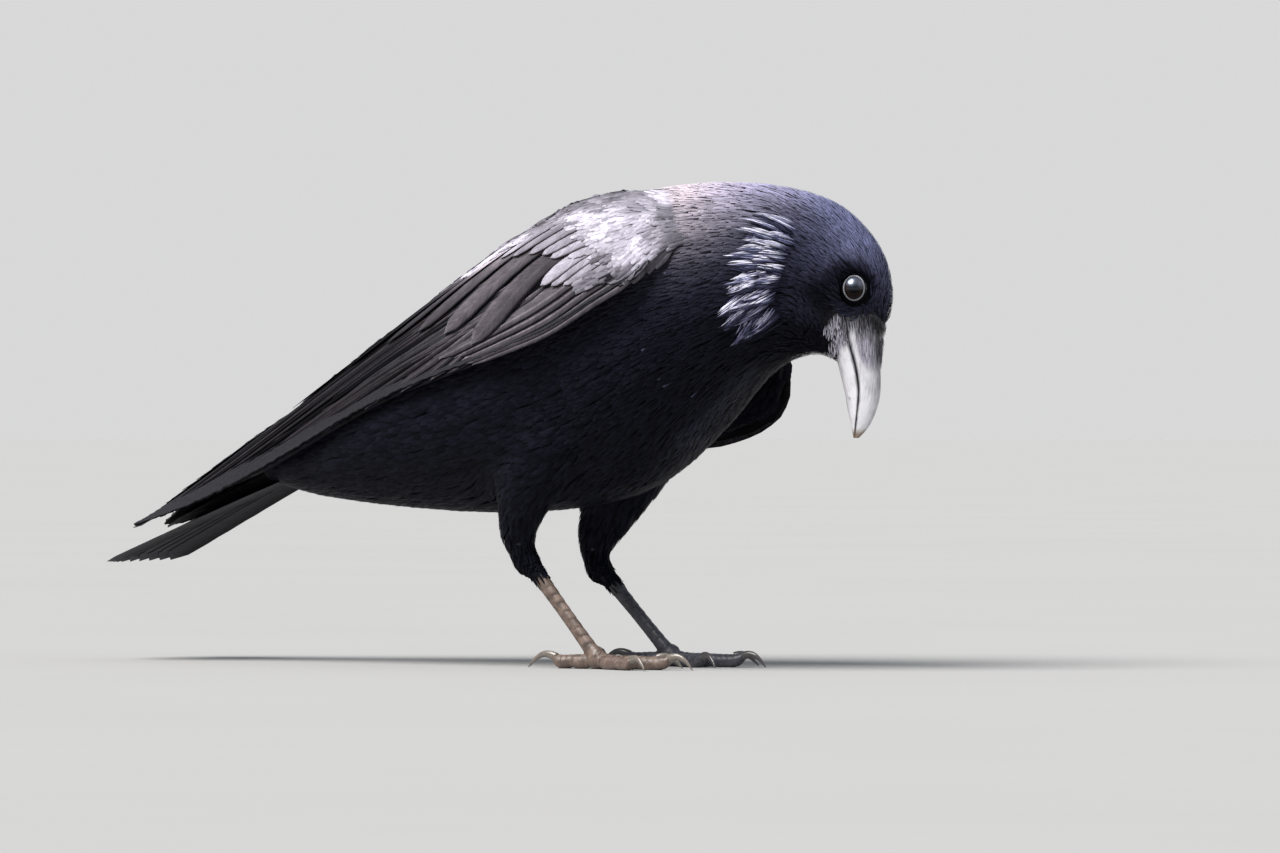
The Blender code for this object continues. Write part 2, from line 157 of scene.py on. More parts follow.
class Finish:
    """A material whose nodes are added one after another."""

    def __init__(self, name):
        self.material = bpy.data.materials.new(name)
        self.material.use_nodes = True
        self.tree = self.material.node_tree
        self.shader = self.tree.nodes["Principled BSDF"]

    def node(self, kind, **inputs):
        made = self.tree.nodes.new("ShaderNode" + kind)
        for socket, value in inputs.items():
            self.put(made, socket.replace("_", " "), value)
        return made

    def put(self, node, socket, value):
        target = node.inputs[int(socket) if socket.isdigit() else socket]
        if isinstance(value, bpy.types.NodeSocket):
            self.tree.links.new(value, target)
        else:
            target.default_value = value

    def set(self, **inputs):
        for socket, value in inputs.items():
            self.put(self.shader, socket.replace("_", " "), value)

    def places(self):
        return self.node("TexCoord").outputs["Object"]

    def map(self, name):
        made = self.node("UVMap")
        made.uv_map = name
        return made.outputs["UV"]

    def attribute(self, name):
        made = self.node("Attribute")
        made.attribute_name = name
        return made.outputs["Fac"]

    def scaled(self, vector, scale):
        made = self.node("Mapping", Vector=vector)
        made.inputs["Scale"].default_value = scale
        return made.outputs["Vector"]

    def noise(self, vector, scale, detail=3.0, roughness=0.6):
        made = self.node("TexNoise", Vector=vector, Scale=scale, Detail=detail, Roughness=roughness)
        return made.outputs["Fac"]

    def sum(self, operation, first, second):
        made = self.node("Math")
        made.operation = operation
        self.put(made, "0", first)
        self.put(made, "1", second)
        return made.outputs["Value"]

    def blend(self, share, first, second):
        made = self.tree.nodes.new("ShaderNodeMix")
        made.data_type = "RGBA"
        self.put(made, "Factor", share)
        for socket, colour in ((made.inputs[6], first), (made.inputs[7], second)):
            if isinstance(colour, bpy.types.NodeSocket):
                self.tree.links.new(colour, socket)
            else:
                socket.default_value = (*colour, 1)
        return made.outputs[2]

    def ramp(self, value, low, high, to_low=0.0, to_high=1.0):
        made = self.node("MapRange", Value=value)
        for socket, number in zip((1, 2, 3, 4), (low, high, to_low, to_high)):
            made.inputs[socket].default_value = number
        return made.outputs["Result"]

    def bump(self, height, strength, distance):
        made = self.node("Bump", Height=height, Strength=strength, Distance=distance)
        self.tree.links.new(made.outputs["Normal"], self.shader.inputs["Normal"])


def barb_streaks(finish, angle):
    """Noise drawn out along a feather's barbs, which leave the shaft at this angle."""
    split = finish.node("SeparateXYZ", Vector=finish.map("Vane"))
    aside = finish.sum("ABSOLUTE", split.outputs["X"], 0.0)
    back = finish.sum("MULTIPLY", aside, 1 / math.tan(angle))
    along = finish.sum("SUBTRACT", split.outputs["Y"], back)
    joined = finish.node("CombineXYZ", X=along, Y=finish.sum("MULTIPLY", split.outputs["X"], 0.12))
    finish.put(joined, "Z", finish.sum("MULTIPLY", finish.attribute("own"), 40.0))
    return joined.outputs["Vector"]


def feather_finish(name, dark, pale, roughness, angle, fineness, gloss=0.5, warm=None):
    """Black feather with a painted violet sheen: barbs as fine streaks, paler where tone is high."""
    finish = Finish(name)
    streaks = finish.noise(barb_streaks(finish, angle), fineness, 2.0, 0.7)
    mottle = finish.noise(finish.places(), 160.0, 3.0)
    tone = finish.attribute("tone")
    light = finish.sum("MULTIPLY", tone, finish.ramp(streaks, 0.3, 0.75, 0.45, 1.6))
    light = finish.sum("MULTIPLY", light, finish.ramp(mottle, 0.35, 0.7, 0.8, 1.25))
    if warm:
        pale = finish.blend(finish.attribute("warm"), pale, warm)
    finish.set(
        Base_Color=finish.blend(finish.ramp(light, 0.0, 1.0), dark, pale),
        Roughness=finish.ramp(streaks, 0.2, 0.8, roughness + 0.1, roughness - 0.08),
        Specular_IOR_Level=finish.ramp(tone, 0.0, 0.3, 0.05, gloss),
        Specular_Tint=(0.8, 0.78, 1.0, 1),
    )
    finish.bump(streaks, 0.4, 0.00014)
    return finish.material


def skin_finish():
    finish = Finish("down_dark")
    fuzz = finish.noise(finish.places(), 900.0, 4.0)
    finish.set(
        Base_Color=finish.blend(fuzz, (0.004, 0.004, 0.005), (0.018, 0.017, 0.022)),
        Roughness=finish.ramp(fuzz, 0.3, 0.7, 0.85, 0.65),
        Specular_IOR_Level=0.25,
    )
    finish.bump(fuzz, 0.6, 0.0004)
    return finish.material


def bill_finish():
    """Dark horn with a pale painted glare, worn brown at the tip and streaked along its length."""
    finish = Finish("bill_horn")
    split = finish.node("SeparateXYZ", Vector=finish.map("Vane"))
    along = finish.node("CombineXYZ", X=split.outputs["X"])
    finish.put(along, "Y", finish.sum("MULTIPLY", split.outputs["Y"], 0.09))
    streaks = finish.noise(along.outputs["Vector"], 1.3, 4.0, 0.65)
    clouds = finish.noise(finish.places(), 190.0, 3.0)
    painted_glare = finish.sum("ADD", finish.attribute("tone"), finish.ramp(streaks, 0.3, 0.7, -0.2, 0.16))
    painted_glare = finish.sum("ADD", painted_glare, finish.ramp(clouds, 0.35, 0.65, -0.1, 0.1))
    horn = finish.blend(finish.ramp(painted_glare, 0.0, 1.0), (0.02, 0.019, 0.024), (0.98, 0.965, 1))
    finish.set(
        Base_Color=finish.blend(finish.attribute("brown"), horn, (0.2, 0.115, 0.04)),
        Roughness=finish.ramp(streaks, 0.3, 0.7, 0.42, 0.3),
        Specular_IOR_Level=0.5,
        Coat_Weight=0.15,
        Coat_Roughness=0.2,
    )
    finish.bump(streaks, 0.35, 0.00025)
    return finish.material


def bristle_finish():
    finish = Finish("bristle")
    streaks = finish.noise(finish.scaled(finish.map("Vane"), (6, 0.3, 1)), 1.0)
    light = finish.sum("ADD", finish.attribute("tone"), finish.ramp(streaks, 0.3, 0.7, -0.15, 0.15))
    # The pale colour is painted sheen on dark bristles.
    finish.set(
        Base_Color=finish.blend(finish.ramp(light, 0, 1), (0.006, 0.006, 0.008), (0.88, 0.84, 0.97)),
        Roughness=finish.ramp(streaks, 0.3, 0.7, 0.5, 0.36),
    )
    finish.bump(streaks, 0.3, 0.0001)
    return finish.material


def eye_finish():
    """A brown-black iris round a black pupil, under a wet surface."""
    finish = Finish("eye_wet")
    split = finish.node("SeparateXYZ", Vector=finish.map("Vane"))
    fibres = finish.noise(finish.scaled(finish.map("Vane"), (9, 0.6, 1)), 1.0, 3.0)
    iris = finish.blend(fibres, (0.004, 0.0025, 0.002), (0.02, 0.01, 0.006))
    ring = finish.ramp(split.outputs["Y"], 2.35, 2.6)
    rim = finish.ramp(split.outputs["Y"], 4.2, 5.0)
    height = finish.sum("MULTIPLY", finish.sum("SINE", split.outputs["X"], 0.0), split.outputs["Y"])
    colour = finish.blend(rim, finish.blend(ring, (0.002, 0.002, 0.002), iris), (0.01, 0.008, 0.009))
    finish.set(
        Base_Color=colour,
        Roughness=finish.ramp(fibres, 0.2, 0.8, 0.34, 0.4),
        Specular_IOR_Level=finish.ramp(height, -1.2, 2.4, 0.02, 0.75),
        Specular_Tint=(0.62, 0.75, 1.0, 1),
        IOR=1.8,
        Coat_Weight=finish.ramp(height, -1.5, 1.0, 0.06, 0.9),
        Coat_Roughness=0.04,
    )
    finish.bump(fibres, 0.03, 0.00005)
    return finish.material


def lid_finish():
    finish = Finish("eyelid_skin")
    grain = finish.noise(finish.places(), 2600.0, 3.0)
    light = finish.sum("MULTIPLY", finish.attribute("tone"), finish.ramp(grain, 0.35, 0.7, 0.6, 1.2))
    finish.set(
        Base_Color=finish.blend(finish.ramp(light, 0, 1), (0.002, 0.002, 0.003), (0.8, 0.8, 0.86)),
        Roughness=finish.ramp(grain, 0.3, 0.7, 0.7, 0.55),
        Specular_IOR_Level=finish.ramp(light, 0.0, 0.4, 0.02, 0.4),
    )
    finish.bump(grain, 0.4, 0.0001)
    return finish.material


def scute_finish(name, dark, pale, painted_shade):
    finish = Finish(name)
    grain = finish.noise(finish.places(), 1500.0, 4.0)
    patches = finish.noise(finish.places(), 260.0, 2.0)
    light = finish.sum("ADD", finish.attribute("tone"), finish.ramp(grain, 0.3, 0.7, -0.14, 0.14))
    light = finish.sum("ADD", light, finish.ramp(patches, 0.35, 0.65, -0.16, 0.16))
    plates = finish.blend(finish.ramp(light, 0.0, 1.0), dark, pale)
    finish.set(
        # Painted shade in the creases between scutes and under the shin's feathers.
        Base_Color=finish.blend(finish.attribute("painted_shade"), plates, painted_shade),
        Roughness=finish.ramp(grain, 0.3, 0.7, 0.52, 0.36),
        Specular_IOR_Level=0.55,
    )
    finish.bump(grain, 0.35, 0.00012)
    return finish.material


def claw_finish(name, dark, pale):
    finish = Finish(name)
    grain = finish.noise(finish.scaled(finish.map("Vane"), (2.0, 0.25, 1)), 2.0, 4.0)
    finish.set(
        Base_Color=finish.blend(finish.ramp(grain, 0.3, 0.75), dark, pale),
        Roughness=finish.ramp(grain, 0.3, 0.7, 0.32, 0.22),
        Coat_Weight=0.3,
        Coat_Roughness=0.15,
    )
    finish.bump(grain, 0.2, 0.0001)
    return finish.material


# The pale colours of the feather finishes are painted sheen, shown where a feather's tone is high; the
# second pale colours tint it brownish on nape and back, and turn the ruffle's painted highlights white.
INK, VIOLET_SHEEN, NAPE_SHEEN = (0.0022, 0.0025, 0.004), (0.33, 0.35, 0.63), (0.68, 0.58, 0.64)
finishes = {
    "plumage": feather_finish("plumage", INK, VIOLET_SHEEN, 0.5, math.radians(24), 2.6, warm=NAPE_SHEEN),
    "hackle": feather_finish("hackle", INK, VIOLET_SHEEN, 0.46, math.radians(12), 3.4, warm=NAPE_SHEEN),
    "coverts": feather_finish("coverts", INK, (0.86, 0.8, 0.92), 0.44, math.radians(26), 2.4),
    "ruffle": feather_finish("ruffle", INK, (0.42, 0.45, 0.86), 0.42, math.radians(10), 2.4,
                             warm=(1.0, 0.97, 1.0)),
    "flight": feather_finish("flight", (0.0025, 0.0025, 0.003), (0.6, 0.52, 0.58), 0.42,
                             math.radians(38), 2.2, 0.35),
    "tail": feather_finish("tail", (0.003, 0.003, 0.004), (0.2, 0.19, 0.22), 0.66,
                           math.radians(38), 2.2, 0.1),
    "down": skin_finish(),
    "bill": bill_finish(),
    "bristle": bristle_finish(),
    "eye": eye_finish(),
    "lid": lid_finish(),
    # The right foot's scutes and claws are paler than the left's: painted light on the right foot,
    # painted shade on the left.
    "leg_right": scute_finish("scutes_painted_lit", (0.035, 0.026, 0.022), (0.34, 0.24, 0.19),
                              (0.02, 0.014, 0.011)),
    "leg_left": scute_finish("scutes_painted_shade", (0.012, 0.012, 0.016), (0.12, 0.12, 0.15),
                             (0.006, 0.006, 0.008)),
    "claw_right": claw_finish("claw_painted_lit", (0.05, 0.04, 0.035), (0.3, 0.26, 0.22)),
    "claw_left": claw_finish("claw_painted_shade", (0.02, 0.018, 0.018), (0.12, 0.11, 0.11)),
}


# ---- meshes of many small things ----


class Pattern:
    """The faces of one small closed shape, to be repeated over many sets of points."""

    def __init__(self, tops, others):
        self.corners = np.array([i for face in tops + others for i in face], np.int64)
        self.sizes = np.array([len(face) for face in tops + others], np.int64)
        self.smooth = np.array([True] * len(tops) + [False] * len(others))
        self.triangles = int((self.sizes - 2).sum())


def flat(values, kind=np.float32):
    """Values as one row of numbers."""
    return values.astype(kind).ravel()


def add_number(mesh, name, values):
    """A number at each point of a mesh, which its finish reads."""
    layer = mesh.attributes.new(name, "FLOAT", "POINT")
    layer.data.foreach_set("value", flat(values))


def repeated(name, pattern, points, maps, numbers, finish, slot="plumage", normals=None):
    """One joined mesh: points is (copies, corners, 3), each map and number goes with it."""
    copies, size = points.shape[:2]
    offsets = (np.arange(copies) * size)[:, None]
    corners = (pattern.corners[None, :] + offsets).ravel()
    sizes = np.tile(pattern.sizes, copies)
    mesh = bpy.data.meshes.new(name)
    mesh.vertices.add(copies * size)
    mesh.vertices.foreach_set("co", flat(points * MM))
    mesh.loops.add(len(corners))
    mesh.loops.foreach_set("vertex_index", flat(corners, np.int32))
    mesh.polygons.add(len(sizes))
    mesh.polygons.foreach_set("loop_start", flat(np.cumsum(sizes) - sizes, np.int32))
    mesh.polygons.foreach_set("use_smooth", np.tile(pattern.smooth, copies))
    mesh.update(calc_edges=True)
    if normals is not None:
        tops = np.tile(np.repeat(pattern.smooth, pattern.sizes), copies)
        soft = unit(normals.reshape(-1, 3))[corners] * tops[:, None]
        mesh.normals_split_custom_set(soft.tolist())
    for key, values in maps.items():
        layer = mesh.uv_layers.new(name=key)
        layer.uv.foreach_set("vector", flat(values.reshape(-1, 2)[corners]))
    for key, values in numbers.items():
        add_number(mesh, key, np.broadcast_to(values, points.shape[:2]))
    mesh.materials.append(finishes[finish])
    return carried(linked(name, mesh), slot)


def linked(name, data):
    """An object of this mesh, lamp or camera, in the scene."""
    made = bpy.data.objects.new(name, data)
    bpy.context.scene.collection.objects.link(made)
    return made


def carried(made, slot, *nodes):
    """A piece that rides on the bird and stands for these solids. The slot is not used."""
    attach(made, "root")
    if nodes:
        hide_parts(*nodes)
    return made


PIECE_TRIANGLES = 180000


def in_pieces(name, pattern, points, maps, numbers, finish, normals=None):
    """Plumage made by repeated(), cut into pieces of a manageable number of triangles."""
    copies = len(points)
    count = max(1, math.ceil(copies * pattern.triangles / PIECE_TRIANGLES))
    bounds = np.linspace(0, copies, count + 1).astype(int)
    for i, (first, last) in enumerate(zip(bounds, bounds[1:])):
        part = slice(first, last)
        repeated(
            name if count == 1 else f"{name}_{i + 1}", pattern, points[part],
            {key: value[part] for key, value in maps.items()},
            {key: value[part] for key, value in numbers.items()}, finish,
            normals=None if normals is None else normals[part],
        )


def vane_pattern(rows, tips):
    """A thin feather: left edge, ridge and right edge in each row, then a frayed end."""
    tops, others = [], [(0, 2, 1)]
    for row in range(rows - 1):
        left, ridge, right = 3 * row, 3 * row + 1, 3 * row + 2
        tops += [(ridge, ridge + 3, left + 3, left), (right, right + 3, ridge + 3, ridge)]
        others.append((left, left + 3, right + 3, right))
    end = 3 * (rows - 1)
    fringe = [end + 2] + [3 * rows + i for i in range(2 * tips - 1)] + [end]
    tops += [(end + 1, first, second) for first, second in zip(fringe, fringe[1:])]
    others.append(tuple(fringe[::-1]))
    return Pattern(tops, others)


# ---- surfaces that feathers lie on ----


TRIES = 9  # random places for each spacing's square, of which most are turned down


def column(items, name, width, kind=np.float32):
    """One property of many parts of a mesh, as rows of this many numbers."""
    values = np.empty(len(items) * width, kind)
    items.foreach_get(name, values)
    return values.reshape(-1, width)


class Form:
    """A smooth surface for feathers to lie on, with the skin beneath it."""

    def __init__(self, mesh):
        mesh.calc_loop_triangles()
        self.points = column(mesh.vertices, "co", 3).astype(float) / MM
        self.normals = column(mesh.vertices, "normal", 3).astype(float)
        self.corners = column(mesh.loop_triangles, "vertices", 3, np.int32)
        self.loops = column(mesh.loop_triangles, "loops", 3, np.int32)
        self.tree = BVHTree.FromPolygons(self.points.tolist(), self.corners.tolist())
        self.map = None

    def unwrap_from(self, mesh):
        """Takes the map of a mesh that has this form's faces."""
        self.map = column(mesh.uv_layers["OFBake"].uv, "vector", 2)[self.loops].astype(float)

    def settle(self, points):
        """Nearest places on the form, their smooth normals and their places on its map."""
        flat = points.reshape(-1, 3)
        found = [self.tree.find_nearest(point) for point in flat.tolist()]
        places = np.array([hit[0] for hit in found], float)
        face = np.array([hit[2] for hit in found])
        a, b, c = (self.points[self.corners[face, k]] for k in range(3))
        normal = np.cross(b - a, c - a)
        area = np.maximum((normal * normal).sum(1), 1e-12)
        wb = (np.cross(places - a, c - a) * normal).sum(1) / area
        wc = (np.cross(b - a, places - a) * normal).sum(1) / area
        weights = np.clip(np.stack([1 - wb - wc, wb, wc], 1), 0, 1)
        weights /= weights.sum(1, keepdims=True)
        normals = unit((self.normals[self.corners[face]] * weights[:, :, None]).sum(1))
        spot = None if self.map is None else (self.map[face] * weights[:, :, None]).sum(1)
        return places.reshape(points.shape), normals.reshape(points.shape), spot

    def scattered(self, spacing, inside):
        """Random places no nearer than spacing to each other, where inside(points) holds."""
        a, b, c = (self.points[self.corners[:, k]] for k in range(3))
        keep = inside((a + b + c) / 3)
        a, b, c = a[keep], b[keep], c[keep]
        areas = np.linalg.norm(np.cross(b - a, c - a), axis=1) / 2
        tries = int(areas.sum() / spacing**2 * TRIES) + 1
        face = chance.choice(len(areas), tries, p=areas / areas.sum())
        u, v = chance.random((2, tries))
        over = u + v > 1
        u[over], v[over] = 1 - u[over], 1 - v[over]
        points = a[face] + (b - a)[face] * u[:, None] + (c - a)[face] * v[:, None]
        cells = np.floor(points / spacing).astype(int).tolist()
        taken, kept = {}, []
        near = [(i, j, k) for i in (-1, 0, 1) for j in (-1, 0, 1) for k in (-1, 0, 1)]
        for index, ((x, y, z), point) in enumerate(zip(cells, points.tolist())):
            for i, j, k in near:
                other = taken.get((x + i, y + j, z + k))
                if other and math.dist(other, point) < spacing:
                    break
            else:
                taken[(x, y, z)] = point
                kept.append(index)
        return points[kept]


def solids(name, nodes, swell, balls=()):
    """One mesh object of copies of these solids, each grown by swell, and of balls (place, radius)."""
    shape = bmesh.new()
    for place, radius in balls:
        bmesh.ops.create_icosphere(shape, subdivisions=3, radius=radius * MM,
                                   matrix=Matrix.Translation(Vector(place) * MM))
    for node in nodes:
        part = bmesh.new()
        part.from_mesh(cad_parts[node].data)
        bmesh.ops.remove_doubles(part, verts=part.verts, dist=0.00002)
        part.normal_update()
        for vertex in part.verts:
            vertex.co += vertex.normal * swell * MM
        mesh = bpy.data.meshes.new(node)
        part.to_mesh(mesh)
        part.free()
        shape.from_mesh(mesh)
    mesh = bpy.data.meshes.new(name)
    shape.to_mesh(mesh)
    shape.free()
    return linked(name, mesh)


def chosen(made):
    """Makes this the only object that the next steps change."""
    bpy.ops.object.select_all(action="DESELECT")
    made.select_set(True)
    bpy.context.view_layer.objects.active = made


def softened(made, times):
    """Smooths a mesh this many times."""
    chosen(made)
    smooth = made.modifiers.new("soften", "SMOOTH")
    smooth.iterations = times
    bpy.ops.object.modifier_apply(modifier=smooth.name)


def remeshed(name, nodes, swell, voxel, smoothing, balls=()):
    """The solids as one closed skin with no seam between them."""
    made = solids(name, nodes, swell, balls)
    chosen(made)
    remesh = made.modifiers.new("one skin", "REMESH")
    remesh.mode = "VOXEL"
    remesh.voxel_size = voxel * MM
    bpy.ops.object.modifier_apply(modifier=remesh.name)
    softened(made, smoothing)
    return made


def placed(made, points):
    """Moves a skin's points here and shades it smooth."""
    made.data.vertices.foreach_set("co", flat(points * MM))
    made.data.update()
    made.data.shade_smooth()


def sunk(made, form, depth, drop=None):
    """Moves the skin inwards from its form by depth(points), and down by drop, then unwraps it."""
    moved = form.points - form.normals * depth(form.points)[:, None]
    if drop:
        moved[:, 2] -= drop(form.points)
    placed(made, moved)
    chosen(made)
    bpy.ops.object.mode_set(mode="EDIT")
    bpy.ops.mesh.select_all(action="SELECT")
    bpy.ops.uv.smart_project(angle_limit=math.radians(66), island_margin=0.004)
    bpy.ops.object.mode_set(mode="OBJECT")
    made.data.uv_layers[0].name = "OFBake"
    form.unwrap_from(made.data)


# ---- the lie of the coat ----

# From the base of the bill over the crown and down the back to the tail: (ahead, height).
SPINE = [(118, 136), (113, 150), (106, 163), (95, 171), (80, 172), (58, 165), (30, 157), (0, 143),
         (-40, 128), (-70, 118), (-100, 109), (-140, 99), (-178, 88)]
SPINE_STEPS = 6
THIGHS = {
    "right": [(-12, -33, 108), (-26, -32, 86), (-32.5, -30, 71), (-35.5, -28, 61),
              (-35.5, -26.5, 54), (-33, -25.5, 46)],
    "left": [(-8, 33, 104), (-18, 32, 82), (-24, 30, 67), (-28, 28, 57), (-28.5, 26.5, 50),
             (-26, 25.5, 42)],
}
THIGH_REACH = [24, 18, 12.5, 9.8, 7.2, 4.2]


def line_of(points, steps):
    """Close points along a smooth curve, with the way it runs at each."""
    places = np.array([catmull(points, i / steps) for i in range((len(points) - 1) * steps + 1)])
    return places, unit(np.gradient(places, axis=0))


spine, spine_way = line_of([tuple(in_row(x, 0, z)) for x, z in SPINE], SPINE_STEPS)
spine_reach = walked(spine)
thigh_lines = {
    side: line_of([tuple(in_row(*point)) + (reach,) for point, reach in zip(points, THIGH_REACH)], 4)
    for side, points in THIGHS.items()
}
eyes = {side: np.array(middle("eye_" + side)) for side in SIDES}
EYE_CLEAR = 9.5  # feathers bend round the eye within this distance of its middle


def apart_squared(points, others):
    """The square of the distance from each place to each of the others."""
    return ((points[:, None] - others[None]) ** 2).sum(2)


def spine_weights(points, blending):
    """How much each step of the spine counts at each place: the nearest one most."""
    apart = apart_squared(points, spine)
    return np.exp(-(apart - apart.min(1, keepdims=True)) / blending)


def reach_of(points):
    """How far along the spine from the bill each place lies."""
    weights = spine_weights(points, 120)
    return (weights * spine_reach).sum(1) / weights.sum(1)


def thigh_share(points):
    """1 on the thighs, fading to 0 on the body, and the way down each."""
    share, way = np.zeros(len(points)), np.zeros_like(points)
    for line, heading in thigh_lines.values():
        apart = np.linalg.norm(points[:, None] - line[None, :, :3], axis=2)
        near = (apart - line[:, 3]).argmin(1)
        close = eased((1.5 - apart[np.arange(len(points)), near] / line[near, 3]) / 0.35)
        close = close * eased((near - 2) / 4)
        way += close[:, None] * unit(heading[near, :3])
        share = np.maximum(share, close)
    return share, way


def body_lie(points, normals):
    """The way that the coat runs over the body at each place."""
    way = (spine_weights(points, 250)[:, :, None] * spine_way).sum(1)
    share, down = thigh_share(points)
    way = unit(way) * (1 - share[:, None]) + down
    for eye in eyes.values():
        out = points - eye
        distance = np.linalg.norm(out, axis=1)
        out = flattened(out, normals)
        towards = np.minimum((way * out).sum(1), 0)
        near = eased((EYE_CLEAR + 3 - distance) / 3)
        way = way - out * (towards * near * 1.25)[:, None]
    return flattened(way, normals)


BAKE_PATCH = 0.003


class Feathers:
    """Feathers on a form, each from its root under the coat to its tip at the surface.

    Their soft normals are the form's own, with a slight turn from edge to edge of each feather.
    share says how far along its feather each point lies, and spot where each root is on the map.
    """

    def __init__(self, form, lie, roots, length, width, depth, rise, rows, tips, curl=0.12, sway=9.0,
                 hump=0.0, round_look=0.3):
        count = len(roots)
        shares = np.append(np.linspace(0, 0.8, rows), 1.0)
        place, normal, spot = form.settle(roots)
        way = lie(place, normal)
        angle = np.radians(chance.normal(0, sway, count))
        side = np.cross(normal, way)
        way = way * np.cos(angle)[:, None] + side * np.sin(angle)[:, None]
        ridge, sides, ups = [place], [np.cross(normal, way)], [normal]
        for before, after in zip(shares, shares[1:]):
            place, normal, _ = form.settle(place + way * (length * (after - before))[:, None])
            way = flattened(way * 0.65 + lie(place, normal) * 0.35, normal)
            ridge.append(place)
            sides.append(np.cross(normal, way))
            ups.append(normal)
        ridge, sides, ups = (np.stack(values, 1) for values in (ridge, sides, ups))
        lift = -depth[:, None] * (1 - shares) ** 1.3 + rise[:, None] * shares**2
        lift = lift + np.reshape(hump, (-1, 1)) * np.sin(math.pi * shares)
        ridge = ridge + ups * lift[:, :, None]
        profile = np.interp(shares[:-1], [0, 0.12, 0.45, 0.7, 0.8], [0.22, 0.55, 1.0, 0.94, 0.8])
        ragged = chance.uniform(0.84, 1.12, (count, rows, 2))
        half = width[:, None, None] / 2 * profile[None, :, None] * ragged
        crown = half.mean(2) * curl * 2
        body, outs, rises = (values[:, :rows] for values in (ridge, sides, ups))
        points = np.empty((count, 3 * rows + 2 * tips - 1, 3))
        normals = np.empty_like(points)
        across = np.zeros(points.shape[:2])
        along = np.zeros_like(across)
        left, shaft, right = (slice(k, 3 * rows, 3) for k in range(3))
        points[:, left], across[:, left] = body + outs * half[:, :, :1], half[:, :, 0]
        points[:, shaft] = body + rises * crown[:, :, None]
        points[:, right], across[:, right] = body - outs * half[:, :, 1:], -half[:, :, 1]
        for strip, turn in ((left, round_look), (shaft, 0), (right, -round_look)):
            normals[:, strip] = rises + outs * turn
            along[:, strip] = shares[:rows] * length[:, None]
        last, end = ridge[:, rows - 1], ridge[:, rows]
        side, up = sides[:, rows], ups[:, rows]
        end_half = half[:, -1].mean(1)
        for j in range(2 * tips - 1):
            aside = (j - (tips - 1)) / max(tips - 1, 1)
            point_share = 1 - 0.55 * abs(aside) ** 1.6
            if j % 2:
                point_share *= 0.5
            point_share = point_share * chance.uniform(0.82, 1.1, count)
            spread = aside * end_half * (0.86 if j % 2 == 0 else 0.8)
            spread = spread + chance.normal(0, 0.05, count) * end_half
            corner = 3 * rows + j
            points[:, corner] = last + (end - last) * point_share[:, None] + side * spread[:, None]
            points[:, corner] += up * (crown[:, -1] * 0.5 * (1 - abs(aside)))[:, None]
            normals[:, corner] = up + side * (round_look * aside)
            across[:, corner] = spread
            along[:, corner] = (0.8 + 0.2 * point_share) * length
        self.points, self.normals, self.spot = points, normals, spot
        self.vane, self.share = np.stack([across, along], 2), along / length[:, None]
        self.patch = self.vane / length[:, None, None] * BAKE_PATCH
        self.pattern = vane_pattern(rows, tips)

    def join(self, name, numbers, finish, soft=True):
        """Joins them, each with a small patch at its root's place on the skin's unwrap."""
        maps = {"OFBake": self.spot[:, None] + self.patch, "Vane": self.vane}
        in_pieces(name, self.pattern, self.points, maps, numbers, finish, self.normals if soft else None)


def own_numbers(count):
    """A random number for each feather, which sets its streaks apart from the others'."""
    return chance.random(count)[:, None]


# ---- skin and coat ----

HEELS = {"right": (-33, -25.5, 48.5), "left": (-26, 25.5, 44.5)}
KNUCKLES = {"right": (3, -25, 4.6), "left": (11, 26, 4.6)}


def heel_balls():
    """Places and sizes that carry the skin of each thigh on over the heel and the top of the shin."""
    balls = []
    for side, (line, _) in thigh_lines.items():
        heel, knuckle = (np.array(in_row(*place[side])) for place in (HEELS, KNUCKLES))
        shin = unit((knuckle - heel)[None])[0]
        balls += [(point[:3], max(point[3] * 0.93, 6.0)) for point in line[-9:]]
        balls += [(heel + shin * step, 5.9 - 0.13 * step) for step in (0, 2, 4, 6, 8)]
    return balls


skin = remeshed("skin", FLESH, 0.6, 2.2, 9, heel_balls())
coat_form = Form(skin.data)


def coat_depth(points):
    """How deep the skin lies under the coat: least on the face."""
    reach = reach_of(points)
    depth = np.interp(reach, [0, 14, 45, 100], [0.9, 1.1, 1.9, 2.6])
    share, _ = thigh_share(points)
    return 0.6 + depth * (1 - share * 0.45)


def surface_of(nodes):
    """The outside of these solids, to measure from."""
    made = solids("surface", nodes, 0)
    mesh = made.data
    tree = BVHTree.FromPolygons(
        [tuple(vertex.co / MM) for vertex in mesh.vertices],
        [tuple(face.vertices) for face in mesh.polygons],
    )
    bpy.data.objects.remove(made)
    return tree


bill_tree = surface_of(["upper_mandible", "lower_mandible"])
wing_trees = [surface_of(wing_nodes(side)) for side in SIDES]


def under_bill(point):
    """Whether a place lies within the bill or on it, by counting walls on the way out."""
    start, walls = Vector(point), 0
    if bill_tree.find_nearest(start)[3] < 0.35:
        return True
    while walls < 20:
        hit = bill_tree.ray_cast(start, face_left)[0]
        if hit is None:
            break
        walls += 1
        start = hit + face_left * 0.01
    return walls % 2 == 1


WING_COVER = 14  # a wing nearer than this above the skin hides the coat
# Over the base of the bill, feathers give way to bristles between these heights.
MASK_TOP, MASK_FLOOR, MASK_REACH = 158.5, 138, 4.2
# The patch of bristles round the corner of the mouth, with its half length and half height.
GAPE_AHEAD, GAPE_HEIGHT, GAPE_LONG, GAPE_TALL, GAPE_REACH = 103.5, 152, 5.4, 6.4, 9


